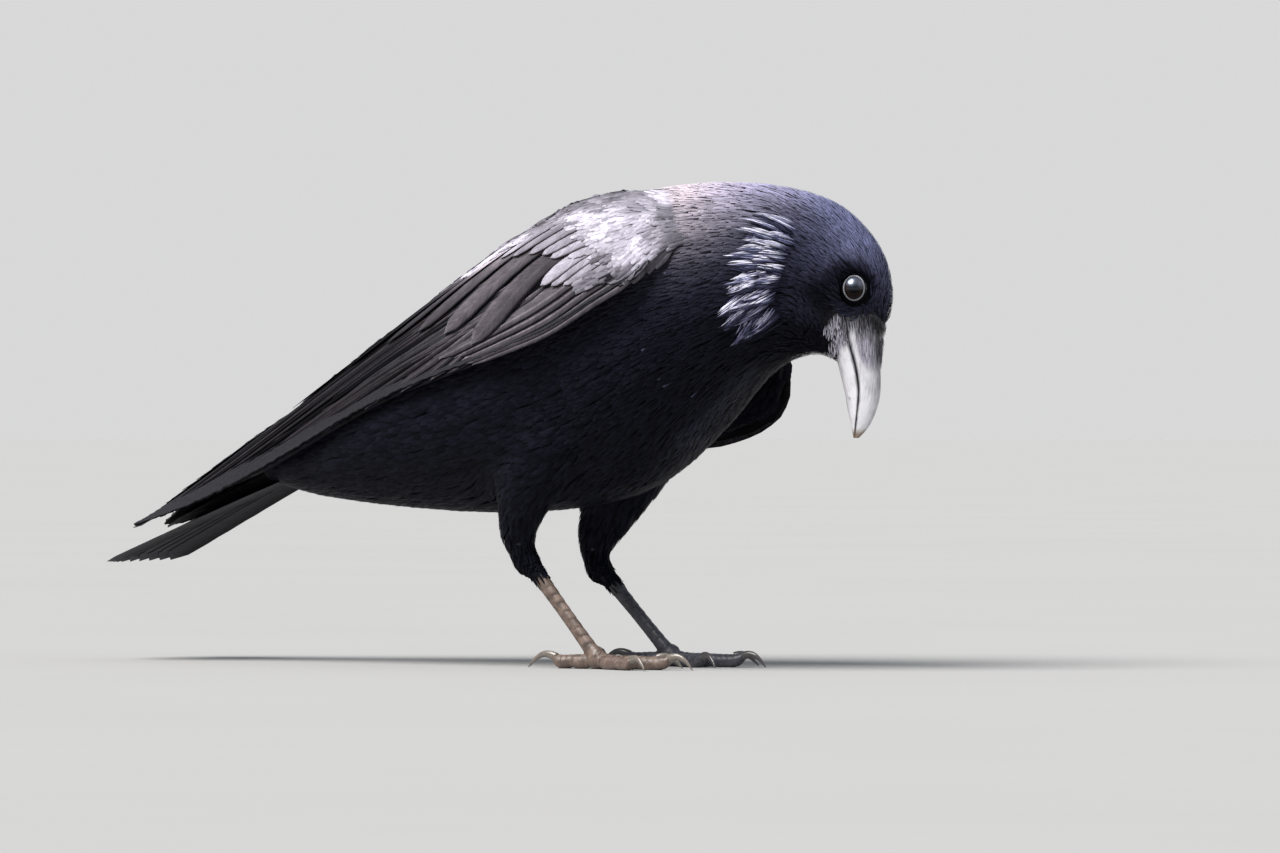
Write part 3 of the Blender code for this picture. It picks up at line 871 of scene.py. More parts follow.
def on_mask(point):
    """Whether a place of the coat lies over the base of the bill, where bristles grow."""
    distance = bill_tree.find_nearest(point)[3]
    ahead = (Vector(point) - face_centre).dot(face_ahead) + EYE_AHEAD
    if ((ahead - GAPE_AHEAD) / GAPE_LONG) ** 2 + ((point[2] - GAPE_HEIGHT) / GAPE_TALL) ** 2 < 1:
        return distance < GAPE_REACH
    top = MASK_TOP - 0.35 * max(ahead - 114, 0)
    return MASK_FLOOR < point[2] < top and distance < MASK_REACH


def under_wing(point, normal, way):
    """Whether a wing hides a feather here, from its root to its tip and to both sides."""
    side = normal.cross(way)
    for shift in (Vector((0, 0, 0)), way * 7, way * -9, side * 6, side * -6):
        start = point + shift - normal * 1.5
        if not any(tree.ray_cast(start, normal, WING_COVER)[0] for tree in wing_trees):
            return False
    return True


BARE_WIDE, BARE_TALL = 4.75, 5.55  # half the opening round an eye that the coat leaves bare


def near_eye(points):
    """Whether each place lies inside the opening of an eye."""
    inside = np.zeros(len(points), bool)
    for eye in eyes.values():
        away = points - eye
        ahead = away @ np.array(face_ahead)
        within = (ahead / BARE_WIDE) ** 2 + (away[:, 2] / BARE_TALL) ** 2 < 1
        inside |= within & (np.linalg.norm(away, axis=1) < 9)
    return inside


# Zones of the body coat: reach from the bill, then spacing, length, width, rows and tips.
ZONES = [
    ("plumage_face", 0, 20, 0.8, 5.0, 0.8, 3, 1),
    ("plumage_crown", 20, 52, 0.92, 8.5, 0.9, 3, 1),
    ("hackles_neck", 52, 105, 1.08, 15.0, 1.1, 4, 2),
    ("plumage_mantle", 105, 150, 1.4, 17.0, 1.8, 4, 2),
    ("plumage_trunk", 150, 400, 1.75, 19.0, 2.8, 4, 3),
]


def painted_sheen(points, normals):
    """Painted sheen: how pale the colour lies where the surface faces the sky, most over nape, crown and
    cheek, with a painted highlight along the throat's edge, fading out close to the eyes.
    """
    reach = reach_of(points)
    skyward = np.clip(normals[:, 2] * 0.8 + 0.2, 0, 1) ** 4.0
    sideways = np.clip(normals[:, 2] + 0.45, 0, 1) ** 1.4
    aside = np.interp(reach, [0, 14, 30, 60, 110, 160], [0.01, 0.02, 0.06, 0.06, 0.03, 0.008])
    above = np.interp(reach, [0, 30, 60, 80, 105, 140, 220], [0.1, 0.6, 0.75, 1.0, 0.9, 0.4, 0.14])
    brow = np.interp(reach, [6, 18, 32, 48], [0, 0.33, 0.33, 0]) * np.clip(normals[:, 2] + 0.5, 0, 1)
    # Painted highlight along the edge of the throat.
    throat_rim_highlight = np.interp(reach, [45, 60, 100, 130], [0, 0.05, 0.04, 0]) * np.clip(normals[:, 0], 0, 1)
    throat_rim_highlight = throat_rim_highlight * bell(normals[:, 1], -0.1, 0.14)
    from_eye = np.min([np.linalg.norm(points - eye, axis=1) for eye in eyes.values()], axis=0)
    return 0.003 + (aside * sideways + above * skyward + brow + throat_rim_highlight) * eased((from_eye - 5) / 7)


def painted_sheen_hue(points, normals):
    """How far the painted sheen turns from blue-violet to a brownish lavender: most on nape and back,
    where the surface faces up.
    """
    above = np.interp(reach_of(points), [42, 70, 130, 190], [0, 1, 1, 0.4])
    return above * eased((normals[:, 2] + 0.05) / 0.6)


def make_coat():
    """The body's feathers, zone after zone, left out where bill, eyes and wings are."""
    for name, first, last, spacing, length, width, rows, tips in ZONES:
        hackles = name.startswith("hackles")

        def inside(points):
            reach = reach_of(points)
            return (reach >= first) & (reach < last)

        roots = coat_form.scattered(spacing, inside)
        roots = roots[~near_eye(roots)]
        place, normal, _ = coat_form.settle(roots)
        way = body_lie(place, normal)
        kept = [
            i
            for i in range(len(roots))
            if not under_bill(place[i])
            and not on_mask(place[i])
            and not under_wing(Vector(place[i]), Vector(normal[i]), Vector(way[i]))
        ]
        roots, normal = roots[kept], normal[kept]
        count = len(roots)
        thigh, _ = thigh_share(roots)
        small = 1 - 0.42 * thigh
        size = chance.uniform(0.82, 1.18, count) * small
        feathers = Feathers(
            coat_form, body_lie, roots, length * size,
            width * chance.uniform(0.85, 1.15, count) * small, coat_depth(roots) - 0.05,
            np.minimum(chance.normal(-0.12, 0.12, count), 0.05) + chance.gamma(0.3, 0.08, count),
            rows, tips, 0.14 if hackles else 0.07, 8.0 if hackles else 10.0,
        )
        # Painted sheen, varied at random from feather to feather and paler towards each feather's tip.
        tone = painted_sheen(roots, normal)
        tone = tone * chance.uniform(0.7, 1.3, count) + chance.uniform(0, 0.012, count)
        if hackles:
            tone += 0.12 * (chance.random(count) < 0.003)  # stray pale flecks
        numbers = {
            "tone": tone[:, None] * (0.65 + 0.5 * feathers.share),
            "own": own_numbers(count),
            "warm": painted_sheen_hue(roots, normal)[:, None],
        }
        feathers.join(name, numbers, "hackle" if hackles else "plumage")


sunk(skin, coat_form, coat_depth)
skin.data.materials.append(finishes["down"])
carried(skin, "plumage", *FLESH)
make_coat()

# ---- raised feathers ----

# A band of puffed feathers round the side of the neck, from behind the crown to the throat.
RUFFLE = [(88, -27, 190), (87, -31, 183), (85, -34, 174), (82, -35, 165), (81, -32, 156),
          (83, -27, 149)]
RUFFLE_ROWS, ROW_GAP = 3, 4.2
RUFFLE_SPACING = 4.4
TUFT_STRANDS, TUFT_LENGTH = 40, 13.0


def tuft_roots(sign):
    """Places in staggered rows behind the ruffle's line, and each one's share along it."""
    places, _ = line_of([tuple(in_row(x, y * sign, z)) for x, y, z in RUFFLE], 24)
    reach = walked(places)
    roots, shares = [], []
    for row in range(RUFFLE_ROWS):
        stops = np.arange((0.5 * row) * RUFFLE_SPACING, reach[-1], RUFFLE_SPACING)
        stops = stops + chance.normal(0, 0.18 * RUFFLE_SPACING, len(stops))
        line_places = np.stack([np.interp(stops, reach, places[:, k]) for k in range(3)], 1)
        back = -np.array(face_ahead) * ROW_GAP * row
        roots.append(line_places + back + chance.normal(0, 0.8, line_places.shape))
        shares.append(np.clip(stops / reach[-1], 0, 1))
    return coat_form.settle(np.concatenate(roots))[0], np.concatenate(shares)


def raised(name, roots, length, width, rise, rows, tips, curl, sway, tone, finish, lie=body_lie,
           hump=0.0):
    """A mesh of feathers that stand off the coat, such as the ruffle and the heel's fringe."""
    count = len(roots)
    feathers = Feathers(coat_form, lie, roots, length, width, np.full(count, 0.8), rise, rows, tips,
                        curl, sway, hump)
    # Painted highlight along each strand: pale past its middle, dark at its root, and whiter where it is
    # brightest.
    light = tone[:, None] * (0.2 + 1.7 * feathers.share - 1.1 * feathers.share**3)
    numbers = {"tone": light, "warm": np.clip(light - 0.2, 0, 1), "own": own_numbers(count)}
    feathers.join(name, numbers, finish, soft=False)


def make_ruffle(side):
    """Tufts of strands that start side by side and draw together to one raised point."""
    roots, share = tuft_roots(-SIDES[side])
    count = len(roots)
    strength = np.sin(math.pi * np.clip(share * 0.85 + 0.1, 0, 1)) ** 0.6
    strength = strength * (1.0 if side == "right" else 0.4) * chance.uniform(0.7, 1.15, count)
    _, normal, _ = coat_form.settle(roots)
    way = body_lie(roots, normal)
    # The upper tufts sweep up, the middle ones straight back, the lower ones down.
    turn = np.radians(np.interp(share, [0, 0.45, 1], [12, -6, -34])) + chance.normal(0, 0.1, count)
    across = np.cross(normal, way) * SIDES[side]
    way = unit(way * np.cos(turn)[:, None] + across * np.sin(turn)[:, None])
    across = np.cross(normal, way)
    length = TUFT_LENGTH * chance.uniform(0.65, 1.25, count)
    strands = []
    for _ in range(TUFT_STRANDS):
        aside = chance.normal(0, 0.55, count)
        # Painted light and shade: the strands on each tuft's upper side are pale, those on its lower
        # side dark, and the upper tufts are paler than the lower.
        lit = 0.08 + 0.92 * eased((aside * SIDES[side] + 0.35) / 0.8)
        strands.append((
            roots + across * (aside * 3.8)[:, None] - way * chance.uniform(0, 5, (count, 1)),
            roots + way * length[:, None] + across * (aside * 1.9)[:, None],
            length * (1 - 0.12 * aside**2) * chance.uniform(0.65, 1.3, count),
            (0.3 + 2.4 * strength) * np.exp(-(aside**2)) * chance.uniform(0.6, 1.2, count),
            1.2 * strength * np.exp(-1.4 * aside**2) * chance.uniform(0.6, 1.4, count),
            strength * (2.6 - 1.7 * share) * lit * chance.uniform(0.3, 1.3, count) ** 1.5,
        ))
    places, tips_at, lengths, rises, humps, tones = (
        np.concatenate(values) for values in zip(*strands))
    places = coat_form.settle(places + chance.normal(0, 0.2, places.shape))[0]

    def to_point(points, normals):
        """Towards the tip of the tuft that each strand belongs to."""
        heading = tips_at - points
        body = body_lie(points, normals)
        close = eased(np.linalg.norm(heading, axis=1) / 4)[:, None]
        return flattened(unit(heading) * close + body * (1 - close), normals)

    raised(f"ruffle_{side}", places, lengths, chance.uniform(0.3, 0.8, len(places)), rises, 6, 1,
           0.25, 6.0, np.clip(tones, 0.02, 1), "ruffle", to_point, humps)


def make_heel_fringe(side):
    """Loose dark feathers from the end of the thigh over the top of the bare shin."""
    line, heading = thigh_lines[side]
    end = line[-1, :3]

    def low(points):
        past = (points - end) @ heading[-1, :3]
        return (past > -9) & (np.linalg.norm(points - end, axis=1) < 15)

    roots = coat_form.scattered(1.3, low)
    count = len(roots)
    raised(f"heel_fringe_{side}", roots, chance.uniform(7.0, 12.0, count), np.full(count, 1.3),
           chance.uniform(-0.2, 0.6, count), 4, 2, 0.1, 14.0, chance.uniform(0.003, 0.012, count),
           "plumage")


for ruffle_side in SIDES:
    make_ruffle(ruffle_side)
    make_heel_fringe(ruffle_side)

# ---- wings ----

# A folded wing's upper and lower edges from the wrist to the tip, y outwards.
WING_EDGES = {
    "right": [
        (30, 26, 205, 49, 49, 184), (12, 21, 209, 41, 58, 170), (-18, 13, 204, 22, 62, 158.5),
        (-48, 6, 191, 2, 64, 147), (-75, 2.5, 175.5, -20, 63.5, 139),
        (-105, 1.8, 156.5, -48, 60, 130), (-140, 1.8, 132.5, -82, 53, 120),
        (-175, 2, 110, -120, 43, 106), (-208, 3, 89, -165, 32, 87), (-238, 6, 69, -210, 22, 70.5),
        (-250, 12, 61.5, -246, 18, 61),
    ],
    "left": [
        (38, 47, 172, 56.5, 50, 146), (19, 45, 181, 54, 58, 127.5), (-12, 41, 181, 43, 62, 111),
        (-43, 36, 172, 17, 64, 101), (-75, 27, 159, -14, 63.5, 98), (-107, 17, 146, -48, 60, 97),
        (-141, 9, 128, -85, 53, 97), (-175, 5, 108, -124, 43, 93), (-208, 4, 88.5, -167, 32, 82),
        (-238, 6, 69, -211, 22, 69.5), (-250, 12, 61.5, -246, 18, 61),
    ],
}
GRID_ALONG = np.linspace(-0.4, 10.0, 105)
GRID_ACROSS = np.linspace(-0.12, 1.12, 32)
PROBE_OUT, PROBE_LENGTH = 40, 70  # probes look for the wing from this far outside it


class Sheet:
    """A grid of places over a surface, read by how far along and across it they lie."""

    def measure(self, outwards_way):
        """Normals to the outward side, and how wide a step across is at each place."""
        self.along_way, way_across = np.gradient(self.places, axis=(0, 1))
        self.normals = unit(np.cross(self.along_way, way_across))
        self.normals *= np.sign((self.normals * outwards_way).sum(2, keepdims=True))
        step = self.across[1] - self.across[0]
        self.across_size = np.linalg.norm(way_across, axis=2, keepdims=True) / step

    def read(self, values, along, across):
        """The values of such a grid, between its places."""
        rows, columns = self.along, self.across
        i = np.clip((along - rows[0]) / (rows[1] - rows[0]), 0, len(rows) - 1.001)
        j = np.clip((across - columns[0]) / (columns[1] - columns[0]), 0, len(columns) - 1.001)
        a, b = i.astype(int), j.astype(int)
        s, t = (i - a)[..., None], (j - b)[..., None]
        return (
            values[a, b] * (1 - s) * (1 - t)
            + values[a + 1, b] * s * (1 - t)
            + values[a, b + 1] * (1 - s) * t
            + values[a + 1, b + 1] * s * t
        )


class WingSheet(Sheet):
    """The outer face of a folded wing, read by a share along it (0 to 10) and across (0 to 1)."""

    # The wing's long feathers get a painted highlight patch, and painted sheen that fades towards the
    # tip.
    fades = True
    along, across = GRID_ALONG, GRID_ACROSS

    def __init__(self, side):
        self.side = side
        sign = SIDES[side]
        self.core = remeshed(f"wing_{side}_core", wing_nodes(side), 0.25, 1.3, 5)
        self.form = Form(self.core.data)
        rows = len(WING_EDGES[side]) - 1
        base = np.empty((len(GRID_ALONG), len(GRID_ACROSS), 3))
        for i, along in enumerate(GRID_ALONG):
            edge = catmull(WING_EDGES[side], min(max(along, -0.4), rows))
            upper, lower = edge[:3] * (1, sign, 1), edge[3:] * (1, sign, 1)
            base[i] = upper + (lower - upper) * GRID_ACROSS[:, None]
        base += np.array(origin)
        axis = unit(np.gradient(base[:, len(GRID_ACROSS) // 2], axis=0))
        chord = unit(base[:, -1] - base[:, 0])
        out = unit(np.cross(axis, chord))
        out *= np.sign(out[:, 1:2] * sign)
        height = np.full(base.shape[:2], np.nan)
        for i in range(len(GRID_ALONG)):
            for j in range(len(GRID_ACROSS)):
                start = base[i, j] + out[i] * PROBE_OUT
                hit = self.form.tree.ray_cast(start.tolist(), (-out[i]).tolist(), PROBE_LENGTH)
                if hit[0]:
                    height[i, j] = PROBE_OUT - hit[3]
        for i in range(len(GRID_ALONG)):
            good = np.flatnonzero(~np.isnan(height[i]))
            if len(good):
                height[i] = np.interp(np.arange(len(GRID_ACROSS)), good, height[i, good])
        known = np.flatnonzero(~np.isnan(height[:, 0]))
        for j in range(len(GRID_ACROSS)):
            height[:, j] = np.interp(np.arange(len(GRID_ALONG)), known, height[known, j])
        for _ in range(2):
            height[1:-1] = (height[:-2] + 2 * height[1:-1] + height[2:]) / 4
            height[:, 1:-1] = (height[:, :-2] + 2 * height[:, 1:-1] + height[:, 2:]) / 4
        self.places = base + out[:, None] * height[:, :, None]
        self.measure(out[:, None])

    def lie(self, points, normals):
        """Along the wing, for small feathers scattered on it."""
        places, ways = (grid[7::3, ::3].reshape(-1, 3) for grid in (self.places, self.along_way))
        near = apart_squared(points, places).argmin(1)
        return flattened(unit(ways)[near], normals)

    def shares(self, points):
        """Where points lie along and across the wing."""
        places = self.places[::2, ::2]
        near = apart_squared(points, places.reshape(-1, 3)).argmin(1)
        row, column = np.divmod(near, places.shape[1])
        return GRID_ALONG[row * 2], GRID_ACROSS[column * 2]

    def outside(self, points):
        """How far in front of the wing's outer face each place is."""
        shares = self.shares(points)
        place, normal = (self.read(grid, *shares) for grid in (self.places, self.normals))
        return ((points - place) * normal).sum(1)

    def core_distance(self, points):
        """How far from the wing's own surface each place is."""
        return np.array([self.form.tree.find_nearest(point)[3] for point in points.tolist()])

    def turning_lie(self, points, normals):
        """Along the wing on it, turning to the body's lie beside it."""
        on_wing = eased((13 - self.core_distance(points)) / 10)[:, None]
        way = self.lie(points, normals) * on_wing + body_lie(points, normals) * (1 - on_wing)
        return flattened(way, normals)


QUILL_COLUMNS = np.array([-1, -0.62, -0.24, -0.05, 0, 0.05, 0.24, 0.62, 1])
QUILL_ROWS = 16
SHAFT = 4  # the column of the shaft, with one more close by on each side
SHAFT_HALF = 0.45


def quill_pattern():
    """A long feather: a cambered sheet with a raised shaft, closed by a flat underside."""
    columns = len(QUILL_COLUMNS)
    tops, others = [], [tuple(range(columns))]
    for row in range(QUILL_ROWS - 1):
        start = row * columns
        for j in range(columns - 1):
            first = start + j
            tops.append((first, first + 1, first + columns + 1, first + columns))
        others.append((start + columns - 1, start, start + columns, start + 2 * columns - 1))
    end = (QUILL_ROWS - 1) * columns
    others.append(tuple(range(end + columns - 1, end - 1, -1)))
    return Pattern(tops, others)


def quill_outline(share, point):
    """The half width along a long feather, from 0 to 1: point says how sharp its end is."""
    root = np.clip(share / 0.12, 0.12, 1) ** 0.7
    end = np.clip((1 - share) / point, 0, 1)
    return root * np.sqrt(np.maximum(1 - (1 - end) ** 2.2, 0.0025))


class Quills:
    """Long feathers gathered for one joined mesh."""

    def __init__(self):
        self.points, self.maps, self.tones = [], [], []

    def add(self, sheet, start, finish, wide, narrow, low=-0.6, tilt=0.7, point=0.12, bow=0.0,
            camber=0.35, tone=0.3, rise=0.0, shaft=0.16, shadow=0.3):
        """One feather from start to finish, each (along, across), on a sheet.

        wide is its half width towards the upper edge and narrow the one towards the lower.
        """
        share = np.linspace(0, 1, QUILL_ROWS)
        share = share + 0.06 * np.sin(2 * math.pi * share) / (2 * math.pi)
        along = start[0] + (finish[0] - start[0]) * share
        across = start[1] + (finish[1] - start[1]) * share + bow * np.sin(math.pi * share)
        size = sheet.read(sheet.across_size, along, across)[:, 0]
        outline = quill_outline(share, point)
        ragged = 1 + 0.025 * np.sin(share * 40 + chance.uniform(0, 6))
        ragged = ragged + chance.normal(0, 0.012, QUILL_ROWS)
        columns = QUILL_COLUMNS[None, :]
        half = np.where(columns < 0, wide, narrow) * (outline * ragged)[:, None]
        aside = columns * half
        aside[:, SHAFT - 1 : SHAFT + 2] = np.array([-1, 0, 1]) * SHAFT_HALF
        place_along = np.broadcast_to(along[:, None], aside.shape)
        place_across = across[:, None] + aside / size[:, None]
        places = sheet.read(sheet.places, place_along, place_across)
        normals = unit(sheet.read(sheet.normals, place_along, place_across))
        lift = low + tilt * aside / (wide + narrow) + camber * (1 - columns**2) * outline[:, None]
        lift = lift + (rise * share**2)[:, None] + 0.06
        lift[:, SHAFT] += np.interp(share, [0, 1], [0.5, 0.12])
        points = places + normals * lift[:, :, None]
        length = np.broadcast_to(walked(points[:, SHAFT])[:, None], aside.shape)
        self.points.append(points.reshape(-1, 3))
        self.maps.append(np.stack([aside, length], 2).reshape(-1, 2))
        # Painted highlights: a pale line along the shaft and a pale rim along the upper edge.
        line = np.exp(-((aside / 0.4) ** 2)) * shaft
        edge = 0.12 * np.abs(columns) ** 6 * (columns < 0)
        # Painted sheen that fades towards the wing's tip: darker further along.
        far = eased((along - 3.7) / 2.2)[:, None] if sheet.fades else 0
        if sheet.fades:
            # A painted highlight: the pale patch where the uppermost plates catch the light.
            patch = glow(along, across, 3.35, 0.5, 0.2, 0.11)
            tone = 0.7 * tone + 1.6 * patch[:, None]
            # Painted shade over the lower part of the left wing.
            if sheet.side == "left":
                tone = tone * (1 - 0.85 * eased((across - 0.7) / 0.2))[:, None]
        # Painted shade: darker towards each feather's lower edge, by shadow, and towards its root.
        shade = (1 - shadow * columns) * (0.8 + 0.35 * share[:, None]) * (1 - 0.78 * far)
        self.tones.append(((tone + line + edge) * shade + chance.normal(0, 0.02)).ravel())

    def make(self, name, finish, flipped):
        """Joins them, each with its own patch in a square grid on the bake map."""
        points, maps, tones = (np.stack(values) for values in (self.points, self.maps, self.tones))
        if flipped:
            points, maps, tones = (self.turned(values) for values in (points, maps, tones))
        count = len(points)
        columns = math.ceil(math.sqrt(count))
        cell = 1 / columns
        index = np.arange(count)
        corner = np.stack([index % columns, index // columns], 1) * cell
        low, high = maps.min((0, 1)), maps.max((0, 1))
        patch = (maps - low) / (high - low) * cell * 0.92 + corner[:, None] + cell * 0.04
        return repeated(name, quill_pattern(), points, {"OFBake": patch, "Vane": maps},
                        {"tone": tones, "own": own_numbers(count)}, finish, "flight_feathers")

    @staticmethod
    def turned(values):
        """The columns in the other order, so that the faces point outwards on the other wing."""
        shape = values.shape
        grid = values.reshape(shape[0], QUILL_ROWS, len(QUILL_COLUMNS), *shape[2:])
        return grid[:, :, ::-1].reshape(shape)


def between(first, last, share):
    """A number, or a place of several numbers, on the way from the first to the last."""
    if isinstance(first, tuple):
        return tuple(a + (b - a) * share for a, b in zip(first, last))
    return first + (last - first) * share


def cloudy(points, size, seed):
    """Smooth random values from about -1 to 1 over places, with patches of about this size."""
    shift = Vector((seed, -seed, 2 * seed))
    return np.array([noise.noise(Vector(point) / size + shift) for point in points.tolist()]) * 1.6


def wing_painted_sheen(along, across, side):
    """The painted sheen on the small feathers of a wing: pale at the shoulder and the wrist, fading
    further back, and a painted highlight over the tertials.
    """
    shoulder = glow(along, across, 1.1, 0.75, 0.42, 0.22)
    wrist = glow(along, across, 0.2, 0.6, 0.75, 0.3)
    tertials = glow(along, across, 3.0, 0.6, 0.16, 0.15)
    rear = 1 - 0.9 * eased((along - 3.9) / 0.8)
    # The painted highlight over the tertials is stronger on the right wing than on the left.
    patch = 0.9 if side == "right" else 0.25
    return (0.17 + 0.42 * shoulder + 0.22 * wrist) * rear + patch * tertials


def row_of(quills, sheet, count, roots, tips, wide, narrow, **looks):
    """A row of long feathers, each over the one before it."""
    for i in range(count):
        share = i / max(count - 1, 1)
        own = {key: between(*value, share) if isinstance(value, tuple) else value
               for key, value in looks.items()}
        along, across = between(*tips, share)
        tip = (along + chance.normal(0, 0.07), across)
        quills.add(sheet, between(*roots, share), tip, wide, narrow, **own)


def lay_quills(side, sheet):
    """The long feathers of a folded wing, from the lowest layer to the coverts on top."""
    quills, covers = Quills(), Quills()
    # Plain vanes under all the others, so that no skin shows between them.
    row_of(quills, sheet, 11, ((1.0, 0.97), (1.6, 0.03)), ((8.4, 0.93), (9.0, 0.1)), 5.2, 5.2,
           low=-2.2, tilt=0.5, point=0.1, camber=0.1, tone=0.03, shaft=0.02)
    # Primaries: narrow strips one above the next, whose tips step back along the lower edge.
    tips = [(10.0, 0.5), (9.8, 0.66), (9.45, 0.78), (9.0, 0.86), (8.45, 0.91), (7.85, 0.95),
            (7.2, 0.97), (6.55, 0.985), (5.95, 1.0), (5.45, 1.0)]
    for i, tip in enumerate(tips):
        root = (max(tip[0] - 5.0, 1.4), 0.88 - 0.035 * i)
        quills.add(sheet, root, tip, 7.5, 2.6, low=-2.25 + 0.09 * i, tilt=1.2, point=0.2, bow=-0.05,
                   tone=0.045 + 0.006 * i, shadow=0.9)
    row_of(quills, sheet, 7, ((4.2, 0.34), (4.4, 0.1)), ((9.4, 0.34), (8.0, 0.12)), 4.4, 3.0,
           low=(-1.9, -1.4), tilt=0.9, point=0.14, tone=0.05, shadow=0.8)
    row_of(quills, sheet, 7, ((4.0, 0.84), (4.6, 0.42)), ((7.0, 0.9), (8.8, 0.46)), 4.6, 2.8,
           low=(-1.95, -1.75), tilt=1.1, point=0.12, bow=-0.01, tone=(0.08, 0.05), shadow=0.9)
    # Secondaries: strips in the middle of the folded wing, behind the broad plates.
    row_of(quills, sheet, 11, ((2.4, 0.84), (3.2, 0.2)), ((5.2, 0.98), (7.9, 0.26)), 5.2, 2.6,
           low=(-2.0, -1.6), tilt=1.1, point=0.1, bow=0.02, tone=(0.12, 0.06), shadow=0.9)
    # Long feathers along the lower edge, with a fine painted highlight along each shaft.
    row_of(quills, sheet, 5, ((0.8, 0.97), (1.6, 0.76)), ((4.75, 1.01), (5.0, 0.86)), 6.6, 3.4,
           low=(-1.4, -1.1), tilt=1.2, point=0.14, bow=0.015, camber=0.2, tone=(0.06, 0.17),
           shaft=0.2, shadow=0.6)
    # Broad plates that run more steeply than the wing does, each over the one below it.
    for root, tip, tone in (
        ((1.75, 0.5), (4.5, 0.87), 0.13), ((2.05, 0.38), (4.75, 0.72), 0.16),
        ((2.35, 0.27), (5.05, 0.57), 0.14), ((2.65, 0.18), (5.5, 0.43), 0.14),
        ((2.9, 0.12), (6.1, 0.3), 0.1), ((3.1, 0.08), (6.9, 0.2), 0.07),
    ):
        height = -1.0 + 0.7 * (0.87 - tip[1])
        quills.add(sheet, root, tip, 4.6 if tip[1] < 0.3 else 8.8, 6.2, low=height, tilt=0.9,
                   point=0.32, bow=-0.01, camber=0.25, tone=tone * 1.1, rise=0.5, shaft=0.05,
                   shadow=0.4)
    # Coverts over their bases: short, broad, round at the end and paler, with more painted sheen.
    row_of(covers, sheet, 8, ((0.5, 0.92), (1.4, 0.6)), ((1.2, 0.95), (2.75, 0.72)), 4.4, 3.9,
           low=(-0.9, -0.4), tilt=0.6, point=0.45, camber=0.2, tone=(0.16, 0.5), rise=0.2, shaft=0.03)
    row_of(covers, sheet, 8, ((0.7, 0.72), (1.9, 0.22)), ((1.65, 0.74), (3.2, 0.36)), 4.6, 4.4,
           low=(-0.5, -0.1), tilt=0.6, point=0.5, camber=0.2, tone=(0.62, 0.3), rise=0.2, shaft=0.03)
    quills.make(f"wing_{side}_quills", "flight", side == "left")
    covers.make(f"wing_{side}_median_coverts", "coverts", side == "left")


def clear_air(form, places, normals, reach):
    """Whether each place sees nothing of the form within reach along its normal."""
    starts = places + normals * 0.8
    return np.array([
        form.tree.ray_cast(start, way, reach)[0] is None
        for start, way in zip(starts.tolist(), normals.tolist())
    ], bool)


CAPE_NODES = ["trunk", "neck", "rump"] + wing_nodes("right") + wing_nodes("left")
# Small feathers of a wing: spacing, length, width, rows, tips and how far their tips rise.
SMALL_FEATHERS = {
    "lesser_coverts": (1.4, 11.0, 2.6, 4, 2, (0.0, 0.6)),
    "scapulars": (1.5, 18.0, 2.6, 5, 2, (0.0, 0.7)),
    "wing_lining": (3.0, 12.0, 5.5, 4, 3, (-0.2, 0.3)),
}


def is_scapular(along, across, from_core):
    """Whether scapulars grow here: over the wing's upper edge and on the back beside it."""
    on_wing = (across < 0.4 - 0.05 * along) & (along < 3.5) & (from_core < 4)
    on_back = (across < 0.06) & (along < 8.5) & (from_core < np.maximum(15 - 1.2 * along, 7))
    return on_wing | on_back


def is_lesser(along, across, from_core):
    """Whether lesser coverts grow here: over the wing's front and on the breast before it."""
    on_wing = (along < 0.9 + 1.1 * (1 - across)) & (from_core < 4)
    before_it = (along < 0.15) & (from_core < 12) & (across < 0.98)
    return (on_wing | before_it) & ~is_scapular(along, across, from_core)


def small_tone(sheet, roots, normal):
    """How pale the small feathers are on a wing and beside it: painted sheen, paler where they face up,
    and painted shade below the wing's edge and in under the left wing.
    """
    along, across = sheet.shares(roots)
    tone = wing_painted_sheen(along, across, sheet.side) * (0.5 + 0.5 * np.clip(normal[:, 2] + 0.4, 0, 1))
    near = eased((11 - sheet.core_distance(roots)) / 8)
    tone = tone * near + 0.66 * painted_sheen(roots, normal) * (1 - near)
    tone *= 1 + 0.5 * cloudy(roots, 10, 3) + 0.3 * cloudy(roots, 5, 5)
    tone *= 1 + chance.normal(0, 0.16, len(roots))
    # Painted shade on the left wing's small feathers that lie in under its outer face, below its upper
    # edge.
    if sheet.side == "left":
        inner = 1 - eased((sheet.outside(roots) + 1.5) / 2.5)
        tone *= 1 - 0.85 * inner * eased((across - 0.1) / 0.25)
    # Painted shade below the wing's edge.
    tone *= eased((1.05 - across) / 0.1)  # dark below the wing's edge
    return np.maximum(tone, 0.01)


def make_small_feathers(name, form, sheet, inside):
    """The lining, the lesser coverts or the scapulars of a wing, on its core or on the cape."""
    spacing, length, width, rows, tips, rise = SMALL_FEATHERS[name]
    lining = name == "wing_lining"
    roots = form.scattered(spacing, inside)
    place, normal, _ = form.settle(roots)
    if lining:
        seen = clear_air(coat_form, place, normal, 14) & (normal[:, 2] < 0.3)
    else:
        seen = clear_air(form, place, normal, 4)
    roots, normal = roots[seen], normal[seen]
    count = len(roots)
    size = chance.uniform(0.78, 1.2, count)
    feathers = Feathers(form, sheet.turning_lie, roots, length * size, width * size,
                        np.full(count, 0.5), chance.uniform(*rise, count), rows, tips, round_look=0.6)
    feathers.spot = sheet.form.settle(roots)[2]
    tone = np.full(count, 0.006) if lining else small_tone(sheet, roots, normal)
    tone = tone[:, None] * (0.75 + 0.4 * feathers.share)
    feathers.join(f"{name}_{sheet.side}", {"tone": tone, "own": own_numbers(count)},
                  "plumage" if lining else "coverts")


